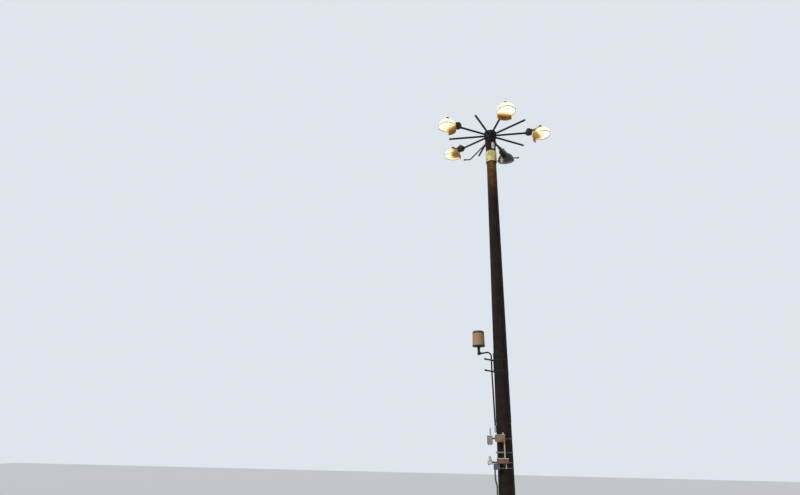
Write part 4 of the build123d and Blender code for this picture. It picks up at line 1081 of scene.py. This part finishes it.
def on_rim(shape, turn, level):
    """A shape on the rim's outer face at an angle in degrees, its Z pointing out and its X up."""
    out = (cos(radians(turn)), sin(radians(turn)), 0)
    return placed(shape, (RIM_OUTER * out[0], RIM_OUTER * out[1], level), (0, 0, 1), out)


band_ear = placed(plate(0.016, 0.012, 0.018, 0.003), (0, 0.058, 0.004), (1, 0, 0), (0, 1, 0))
band_bolt = placed(bolt(0.006), (0.008, 0.068, 0.004), (0, 0, 1), (1, 0, 0))
band = joined([hoop(0.054, 0.0612, -0.004, 0.012), band_ear, band_bolt])
make("socket_bands", five(hung(band)), BOLT)
cap_rings = joined([hoop(0.048, 0.0545, 0.048, 0.054), hoop(0.050, 0.0570, 0.026, 0.031)])
make("socket_cap_rings", five(hung(cap_rings)), CASTING)
clips = [on_rim(clip(), turn, RIM_LEVEL) for turn in CLIP_TURNS]
make("rim_clips", five(hung(joined(clips))), BOLT)
beads = [tube(circle(RIM_MIDDLE, RIM_FOOT, 90), 0.0034, 8, closed=True),
         tube(circle(VISOR_RADIUS, VISOR_EDGE, 48, 180 - VISOR_HALF, 180 + VISOR_HALF), 0.0026, 8)]
# The beads of the burning lamps carry painted lamplight, those of the lamp that is out painted shade.
make("rim_and_visor_beads", five(hung(joined(beads)), LIT_LAMPS), LAMPLIT_VISOR)
make("shaded_rim_beads", five(hung(joined(beads)), DARK_LAMPS), SHADED_VISOR)
rivets = [on_rim(disc(0.005, 0.0025, 0.001, 10), turn, RIVET_LEVEL) for turn in RIVET_TURNS]
make("visor_rivets", five(hung(joined(rivets))), BOLT)

# %% [markdown]
# ## Antenna and its bracket
# The round shell sits in its tray with a moulded lip, a darker band round its crown and screws round the
# tray. Collars on the stem and screws in the tee finish what carries it. Lip and band could be stripes in
# the shell's finish, but as rings that stand out by 2 or 3 mm they draw a real line of shadow.

# %% Antenna shell, tray and stem
TEE = JOINT_HIGH + 1.895  # height of the tee that carries the stem
ANTENNA_X = -0.610
SHELL_FOOT = TEE + 0.189 + 0.030  # above the stem and the tray
SHELL_RADIUS = 0.178
SHELL_NARROWING = 0.010
SHELL_RISE = 0.426
TRAY_RADIUS = 0.1828


def shell_radius(rise):
    """Radius of the antenna's shell at a rise above its foot: it narrows by 10 mm over 426 mm."""
    return SHELL_RADIUS - SHELL_NARROWING * rise / SHELL_RISE


lip = hoop(shell_radius(0.02) - 0.002, shell_radius(0.02) + 0.003, 0.003, 0.020, 72)
make("shell_lip", placed(lip, (ANTENNA_X, 0, SHELL_FOOT)), RADOME)
crown = hoop(shell_radius(0.36) - 0.003, shell_radius(0.36) + 0.0022, 0.352, 0.366, 72)
make("shell_crown_band", placed(crown, (ANTENNA_X, 0, SHELL_FOOT)), DARK)
screw = cap_screw(0.006, 0.005)
tray_screws = [placed(screw, (TRAY_RADIUS * cos(a), TRAY_RADIUS * sin(a), 0), (0, 0, 1), (cos(a), sin(a), 0))
               for a in np.arange(8) * pi / 4 + 0.2]
tray_screws = placed(joined(tray_screws), (ANTENNA_X, 0, SHELL_FOOT - 0.009))
make("tray_screws", tray_screws, BOLT)
stem = joined([hoop(0.030, 0.040, 0.050, 0.068, 32), hoop(0.038, 0.052, 0.176, 0.190, 32)])
make("stem_collars", placed(stem, (ANTENNA_X, 0, TEE)), DARK)
tee_bolts = at(bolt(0.008), [(ANTENNA_X, -0.043, TEE + z) for z in (-0.026, 0.026)], (0, -1, 0))
make("tee_screws", tee_bolts, BOLT)

# %% [markdown]
# Two U-bolts tie the bent pipe to the bracket's arms; each is a wire bent round the pipe, with a saddle and
# two nuts behind the arm. The arms rise a little outwards, so a U-bolt's height is read off the arm's slope.

# %% U-bolts, saddles, bracket bolts and arm caps
PIPE_X = -0.262
ARM_TIP_X = -0.462
ARM_RISE = 0.052
ARM_Y = 0.0433
ARM_BACK = 0.0643
ARM_DROPS = (0.206, 0.523)
BOW = 0.0265
SADDLE_THICKNESS = 0.004
bend = np.radians(np.linspace(0, 180, 17))
arm_roots = {drop: -float(mast_face(TEE - drop)) - 0.007 for drop in ARM_DROPS}
u_bolts, saddles = [], []
for drop, root in arm_roots.items():
    z = TEE - drop + ARM_RISE * (PIPE_X - root) / (ARM_TIP_X - root)
    near_leg = [(PIPE_X + BOW, y, z) for y in (0.084, 0.04)]
    bow = [(PIPE_X + BOW * cos(a), -BOW * sin(a), z) for a in bend]
    far_leg = [(PIPE_X - BOW, y, z) for y in (0.04, 0.084)]
    u_bolts.append(tube(near_leg + bow + far_leg, 0.004, 10))
    nuts = [(PIPE_X + x, ARM_BACK + SADDLE_THICKNESS, z) for x in (-BOW, BOW)]
    u_bolts.append(at(bolt(0.008), nuts, (0, 1, 0)))
    saddle = plate(0.082, 0.034, SADDLE_THICKNESS)
    saddles.append(placed(saddle, (PIPE_X, ARM_BACK, z), (1, 0, 0), (0, 1, 0)))
make("pipe_u_bolts", joined(u_bolts), BOLT)
make("u_bolt_saddles", joined(saddles), OLD_ZINC)

CHANNEL_SKIN = 0.0138
channel = [(-float(mast_face(TEE - drop)) - CHANNEL_SKIN, y, TEE - drop) for drop in (0.06, 0.28, 0.48)
           for y in (-0.028, 0.028)]
make("bracket_bolts", at(bolt(0.010), channel, (-1, 0, 0), (0, 0, 1)), RUSTED)
arm_cap = joined([disc(0.0275, 0.004, 0.0015, 28), disc(0.010, 0.008, 0.001, 6)])
arm_ends = []
for drop, root in arm_roots.items():
    slope = (ARM_TIP_X - root, 0, ARM_RISE)
    arm_ends.append(placed(arm_cap, (ARM_TIP_X, ARM_Y, TEE - drop + ARM_RISE), (0, 1, 0), slope))
make("bracket_arm_caps", joined(arm_ends), DARK)

# %% [markdown]
# Every strap round the mast has a worm-drive buckle on the far side. The white coupling at the pipe's foot
# has grip rings and a nut. The grip's flutes could be cut one by one; a cosine of the angle on the ring's
# radius makes all of them at once.

# %% Strap buckles and the white coupling
RAIL_DROPS = (0.428, 0.779, 1.028, 1.168)
rail_levels = [JOINT_HIGH - drop for drop in RAIL_DROPS]
BUCKLE_TURN = 150
HALF_STRAP = 0.014
STRAP_SKIN = 0.0033
worm = tube([(0, y, 0.010) for y in (-0.020, 0, 0.020)], 0.0055, 10)
worm_head = placed(bolt(0.006), (0, 0.020, 0.010), (1, 0, 0), (0, 1, 0))
buckle = joined([plate(0.030, 0.036, 0.008), worm, worm_head])
buckles = [around(buckle, float(mast_face(level - HALF_STRAP)) + STRAP_SKIN, level, [BUCKLE_TURN])
           for level in rail_levels + [TEE - drop for drop in ARM_DROPS]]
make("strap_buckles", joined(buckles), OLD_ZINC)

GRIP_FLUTES = 24
COUPLING_RADIUS = 0.033
coupling_low, coupling_high = corners["pipe_coupling"]
coupling_x = coupling_high[0] - COUPLING_RADIUS
grip_points, grip_faces = hoop(0.032, 0.0375, 0.0, 0.016, 96)
flutes = 1 + 0.02 * np.cos(GRIP_FLUTES * np.arctan2(grip_points[:, 1], grip_points[:, 0]))
grip = grip_points * np.column_stack([flutes, flutes, np.ones(len(flutes))]), grip_faces
grips = at(grip, [(coupling_x, 0, coupling_low[2] + z) for z in (0.020, 0.128)])
pipe_foot = -float(mast_face(JOINT_HIGH)) - 0.0223
nut = placed(disc(0.031, 0.022, 0.003, 6), (pipe_foot, 0, coupling_high[2] - 0.001))
make("coupling_grips", joined([grips, nut]), WHITE)

# %% [markdown]
# ## Boxes on the mast
# Rails clamped to the mast carry the boxes. The rails get bolts and end caps, and the second one carries a
# pale bar, folded from one strip. The mast widens downwards, so each rail stands a little further out than
# the one above, and its front plane is worked out from the mast's flat.


# %% Rails and their bar
def rail_front(n):
    """Front plane of a rail, where the boxes on it are fixed: the mast's flat at the rail's lower edge, the
    seat's gap and the rail's own depth."""
    return -float(mast_face(rail_levels[n] - HALF_RAIL)) - SEAT_GAP - RAIL_DEPTH


HALF_RAIL = 0.0205
RAIL_DEPTH = 0.032
RAIL_ENDS = ((-0.450, 0.030), (-0.240, 0.022), (-0.440, 0.110), (-0.312, 0.030))
END_MARGIN = 0.02
cap = plate(0.045, 0.036, 0.004, 0.006)
rail_caps, rail_bolts = [], []
for n, (left, right_end) in enumerate(RAIL_ENDS):
    middle = rail_front(n) + RAIL_DEPTH / 2
    rail_caps.append(placed(cap, (left, middle, rail_levels[n]), (0, 0, 1), (-1, 0, 0)))
    rail_caps.append(placed(cap, (right_end, middle, rail_levels[n]), (0, 0, 1), (1, 0, 0)))
    rail_bolts += [(x, rail_front(n), rail_levels[n]) for x in (left + END_MARGIN, right_end - END_MARGIN)]
make("rail_end_caps", joined(rail_caps), RUBBER)
make("rail_bolts", front(bolt(0.010), rail_bolts), BOLT)

BAR_SECTION = ((0.0, 0.016), (0.014, 0.016), (0.014, -0.004), (0.002, -0.006))
bar_line = [(rail_front(1) - y, rail_levels[1] + z) for y, z in BAR_SECTION]
make("pale_bar", sheet(bar_line, 0.003, RAIL_ENDS[1][0], 0.015), ZINC)
bar_screws = [(x, rail_front(1) - 0.0138, rail_levels[1] + 0.006) for x in (-0.22, -0.11, -0.005)]
make("bar_screws", front(cap_screw(0.005, 0.004), bar_screws), BOLT)

# %% [markdown]
# Every closed box on a rail has the same front, so one function draws it: a raised cover with rounded
# corners, a thin seal showing round it and a captive screw in each corner, all sized from the box itself.


# %% Box covers
def cover(name, node, body_top=None, inset=0.012, rise=0.005, material=PLASTIC):
    """Raised front cover with a seal round it and four captive screws, sized from the node's own box."""
    low, high = corners[node]
    top = high[2] if body_top is None else body_top
    width = high[0] - low[0] - 2 * inset
    height = top - low[2] - 2 * inset
    middle = ((low[0] + high[0]) / 2, low[1], (low[2] + top) / 2)
    seal = tube([(x, y, 0.0005) for x, y in rounded(width + 0.002, height + 0.002, 0.011)], 0.0014, 6, True)
    across = width / 2 - SCREW_MARGIN
    along = height / 2 - SCREW_MARGIN
    spots = [(middle[0] + sx * across, low[1] - rise, middle[2] + sz * along)
             for sx in (-1, 1) for sz in (-1, 1)]
    make(name, front(plate(width, height, rise, 0.010, 0.002), [middle]), material)
    make(name + "_seal", front(seal, [middle]), RUBBER)
    make(name + "_screws", front(cap_screw(0.0055, 0.004), spots), BOLT)


SCREW_MARGIN = 0.012
cover("side_box_cover", "side_box", SIDE_TOP)
cover("lower_cabinet_cover", "lower_cabinet", material=SHADED_TAN)
cover("grey_box_cover", "grey_box", material=BLUE_GREY)
cover("unit_cover", "left_unit", UNIT_SHOULDER, inset=0.010, rise=0.004, material=WHITE)
print("covers on four boxes")

# %% [markdown]
# White lids and lips catch the light along the top edges of the boxes. The upper cabinet's hood could be a
# thick block with a step cut under it, but it is one folded sheet, as on the real cabinet. It steps up over
# the door and still leaves the door free to swing beneath it.

# %% Lids, hood, finial rings and glands
def lid(low, high, top, overhang, thickness):
    """Flat lid a little larger than the box under it."""
    centre = ((low[0] + high[0]) / 2, (low[1] + high[1]) / 2, top - 0.0005)
    return placed(plate(high[0] - low[0] + 2 * overhang, high[1] - low[1], thickness, 0.014, 0.003), centre)


lower_low, lower_high = corners["lower_cabinet"]
side_low, side_high = corners["side_box"]
unit_low, unit_high = corners["left_unit"]
make("lower_cabinet_lid", lid(lower_low, lower_high, lower_high[2], 0.004, 0.012), WHITE)
make("side_box_lid", lid(side_low, side_high, SIDE_TOP, 0.003, 0.008), WHITE)
FINIAL_INSET = 0.092
side_x = side_low[0] + FINIAL_INSET
side_y = (side_low[1] + side_high[1]) / 2
finial = joined([hoop(0.018, 0.029, 0.0, 0.010, 32), hoop(0.024, 0.0285, 0.062, 0.072, 32),
                 hoop(0.020, 0.0245, 0.160, 0.166, 32)])
make("finial_rings", placed(finial, (side_x, side_y, SIDE_TOP)), WHITE)
gland_spots = [(side_low[0] + 0.04, side_y, side_low[2]), (side_low[0] + 0.10, side_y, side_low[2]),
               (unit_low[0] + 0.03, (unit_low[1] + unit_high[1]) / 2, unit_low[2])]
fitting_spot = (-0.046, lower_high[1] - 0.060, lower_low[2])
glands = joined([under(gland(0.012), gland_spots), under(gland(0.031), [fitting_spot])])
make("box_glands", glands, RUBBER)

DOOR_GAP = 0.0055
DOOR_THICKNESS = 0.022
cabinet_low, cabinet_high = corners["upper_cabinet"]
door_front = cabinet_low[1] - DOOR_GAP - DOOR_THICKNESS
hood_seat = cabinet_high[2] + SEAT_GAP
hood_step = cabinet_high[2] + 0.0062  # clear of the door's top edge
hood_line = [(cabinet_high[1], hood_seat), (cabinet_low[1] + 0.006, hood_seat),
             (cabinet_low[1] + 0.001, hood_step), (door_front - 0.006, hood_step)]
hood = sheet(hood_line, -0.008, cabinet_low[0] - 0.004, cabinet_high[0] + 0.004)
make("cabinet_hood", hood, WHITE)
stub_spot = (cabinet_high[0] - 0.050, (cabinet_low[1] + cabinet_high[1]) / 2, cabinet_high[2])
stub_rings = joined([hoop(0.018, 0.026, 0.008, 0.020, 24), hoop(0.017, 0.0215, 0.050, 0.062, 24)])
make("stub_cap", placed(stub_rings, stub_spot), WHITE)

# %% [markdown]
# Behind the door, a top-hat rail on the back wall carries a row of terminal blocks, each with its clamping
# screws, above a slotted cable duct. They show only when the door is open, so one plain block is set
# fourteen times. These ride on the mast; the door's raised panel, latch plate, rubber seal and rivets ride
# on the door.

# %% Inside the upper cabinet, and its door
BACK_WALL = 0.003
TERMINALS = 14
TERMINAL_STEP = 0.0135
DUCT_TEETH = 22
DUCT_STEP = 0.0105
DUCT_DEPTH = 0.030
HAT_SECTION = ((0.0008, 0.0175), (0.0008, 0.0125), (0.0075, 0.0125),
               (0.0075, -0.0125), (0.0008, -0.0125), (0.0008, -0.0175))
door_x = (cabinet_low[0] + cabinet_high[0]) / 2
door_z = (cabinet_low[2] + cabinet_high[2]) / 2
inner_back = cabinet_high[1] - BACK_WALL
rail_z = door_z + 0.016
hat_line = [(inner_back - y, rail_z + z) for y, z in HAT_SECTION]
terminal_rail = sheet(hat_line, 0.0012, cabinet_low[0] + 0.014, cabinet_high[0] - 0.014)
make("terminal_rail", terminal_rail, ZINC)
block = joined([plate(0.0115, 0.052, 0.036, 0.002), placed(cap_screw(0.003, 0.002), (0, 0.016, 0.036)),
                placed(cap_screw(0.003, 0.002), (0, -0.016, 0.036))])
terminal_x = np.arange(TERMINALS) * TERMINAL_STEP + cabinet_low[0] + 0.036
terminals = front(block, [(x, inner_back - 0.009, rail_z) for x in terminal_x])
make("terminal_blocks", terminals, PLASTIC)
duct_z = cabinet_low[2] + 0.026
teeth_x = np.arange(DUCT_TEETH) * DUCT_STEP + cabinet_low[0] + 0.018
duct_teeth = [(x, inner_back - DUCT_DEPTH, duct_z) for x in teeth_x]
duct = joined([front(plate(0.234, 0.032, DUCT_DEPTH, 0.002), [(door_x, inner_back, duct_z)]),
               front(plate(0.005, 0.028, 0.004, 0.001), duct_teeth)])
make("cable_duct", duct, BLUE_GREY)

door_panel = front(plate(0.216, 0.138, 0.003, 0.012, 0.002), [(door_x - 0.004, door_front, door_z)])
make("door_panel", door_panel, TAN, DOOR)
latch_x = cabinet_high[0] - 0.022
latch_ring = front(hoop(0.0088, 0.0140, 0.0, 0.0030, 28), [(latch_x, door_front, door_z)])
latch_key = front(disc(0.004, 0.003, 0.0006, 3), [(latch_x, door_front - 0.0068, door_z)])
make("door_latch", joined([latch_ring, latch_key]), BOLT, DOOR)
rivet_spots = [(door_x + x, door_front, door_z + z) for x in (-0.121, 0.121) for z in (-0.081, 0.081)]
door_rivets = front(disc(0.004, 0.002, 0.0008, 12), rivet_spots)
make("door_rivets", door_rivets, BOLT, DOOR)
seal_path = [(door_x + x, door_front + 0.0065, door_z + z) for x, z in rounded(0.228, 0.148, 0.010)]
make("door_seal", tube(seal_path, 0.0038, 8, closed=True), RUBBER, DOOR)

# %% [markdown]
# ## The long conduit
# Down the left of the mast, as the photograph sees it, the conduit is joined by threaded couplings, and each
# clamp closes with a bolt at each side. Its line is worked out as the drawing does, because a guess would
# leave them beside the pipe: the stand-off from the mast's flat stays the same from the top of the straight
# run down to the lower slip joint.

# %% Conduit couplings and clamp bolts
DROP_TURN = 210  # degrees round the mast
DROP_RADIUS = 0.021
STAND = DROP_RADIUS + 0.046
CLAMPS = 6
FOOT_HEIGHT = 0.700
BOLT_SIDE = 0.018
near_z = corners["grey_box"][0, 2] - SEAT_GAP - 0.400
near_reach = float(mast_face(near_z)) + STAND
far_reach = float(mast_face(JOINT_LOW)) + 0.0065 + STAND


def conduit_reach(height):
    """Distance from the mast's axis to the conduit's at a height, on one straight line."""
    return near_reach + (far_reach - near_reach) * (near_z - height) / (near_z - JOINT_LOW)


def on_conduit(shape, height):
    """A shape about the conduit's axis at a height, turned round the mast to the conduit's side."""
    lean = np.array([-(far_reach - near_reach) / (near_z - JOINT_LOW), 0, 1])
    return turned(placed(shape, (conduit_reach(height), 0, height), (1, 0, 0), lean), DROP_TURN)


clamp_step = (near_z - FOOT_HEIGHT) / CLAMPS
sleeve = joined([hoop(0.0205, 0.0262, -0.034, -0.004, 28), hoop(0.0205, 0.0262, 0.004, 0.034, 28),
                 hoop(0.0205, 0.0245, -0.005, 0.005, 28)])
couplings = joined(on_conduit(sleeve, near_z - clamp_step * n) for n in (1, 2, 4, 5))
make("conduit_couplings", couplings, OLD_ZINC)
bolt_pair = joined([placed(bolt(0.008), (-0.034, y, 0), (0, 0, 1), (0, y, 0))
                    for y in (-BOLT_SIDE, BOLT_SIDE)])
clamp_bolts = joined(on_conduit(bolt_pair, near_z - (n + 0.5) * clamp_step) for n in range(CLAMPS))
make("clamp_bolts", clamp_bolts, BOLT)

# %% [markdown]
# ## Floor, world and light
# A pale floor and an even sky show every colour about as it is written. One broad sun from the upper left
# gives the mast its form. More lamps could bring out more shine, but the part has to look right under other
# light too, so this one is kept plain.

# %% Floor, world and sun
FLOOR_HALF = 260
FLOOR_LEVEL = -0.002  # just under the base plate
SKY_STRENGTH = 0.55
BACKDROP_STRENGTH = 1.0
SUN_STRENGTH = 1.75
SUN_SIZE = 14  # degrees across, for soft edges to the shadows
SUN_HEIGHT = 30

floor_corners = [(x * FLOOR_HALF, y * FLOOR_HALF, FLOOR_LEVEL)
                 for x, y in ((-1, -1), (1, -1), (1, 1), (-1, 1))]
floor_mesh = bpy.data.meshes.new("floor")
floor_mesh.from_pydata(floor_corners, [], [(0, 1, 2, 3)])
floor = bpy.data.objects.new("floor", floor_mesh)
bpy.context.scene.collection.objects.link(floor)
paint, _, shader, _ = blank("pale_floor")
shader.inputs["Base Color"].default_value = colour("#d9dadb")
shader.inputs["Roughness"].default_value = 0.95
floor_mesh.materials.append(paint)

world = bpy.data.worlds.new("studio")
bpy.context.scene.world = world
world.use_nodes = True
tree = world.node_tree
tree.nodes.clear()
path = add(tree, "ShaderNodeLightPath")
direct = add(tree, "ShaderNodeMath", {0: path.outputs["Is Camera Ray"], 1: path.outputs["Is Glossy Ray"]},
             operation="MAXIMUM")
seen = add(tree, "ShaderNodeMath", {0: direct.outputs[0], 1: path.outputs["Is Transmission Ray"]},
           operation="MAXIMUM")
soft = add(tree, "ShaderNodeBackground", {"Color": colour("#e6eaef"), "Strength": SKY_STRENGTH})
back = add(tree, "ShaderNodeBackground", {"Color": colour("#dfe5ec"), "Strength": BACKDROP_STRENGTH})
mix = add(tree, "ShaderNodeMixShader", {"Fac": seen.outputs[0], 1: soft.outputs[0], 2: back.outputs[0]})
add(tree, "ShaderNodeOutputWorld", {"Surface": mix.outputs[0]})

sun_light = bpy.data.lights.new("sun", "SUN")
sun_light.energy = SUN_STRENGTH
sun_light.angle = radians(SUN_SIZE)
sun = bpy.data.objects.new("sun", sun_light)
bpy.context.scene.collection.objects.link(sun)
toward = np.array([-0.55, -0.62, 0.56])
toward /= np.linalg.norm(toward)
side = np.cross([0, 0, 1], toward)
side /= np.linalg.norm(side)
lift = np.cross(toward, side)
sun.matrix_world = Matrix((
    (side[0], lift[0], toward[0], 0),
    (side[1], lift[1], toward[1], 0),
    (side[2], lift[2], toward[2], SUN_HEIGHT),
    (0, 0, 0, 1),
))
print("sun from", np.round(toward, 2))
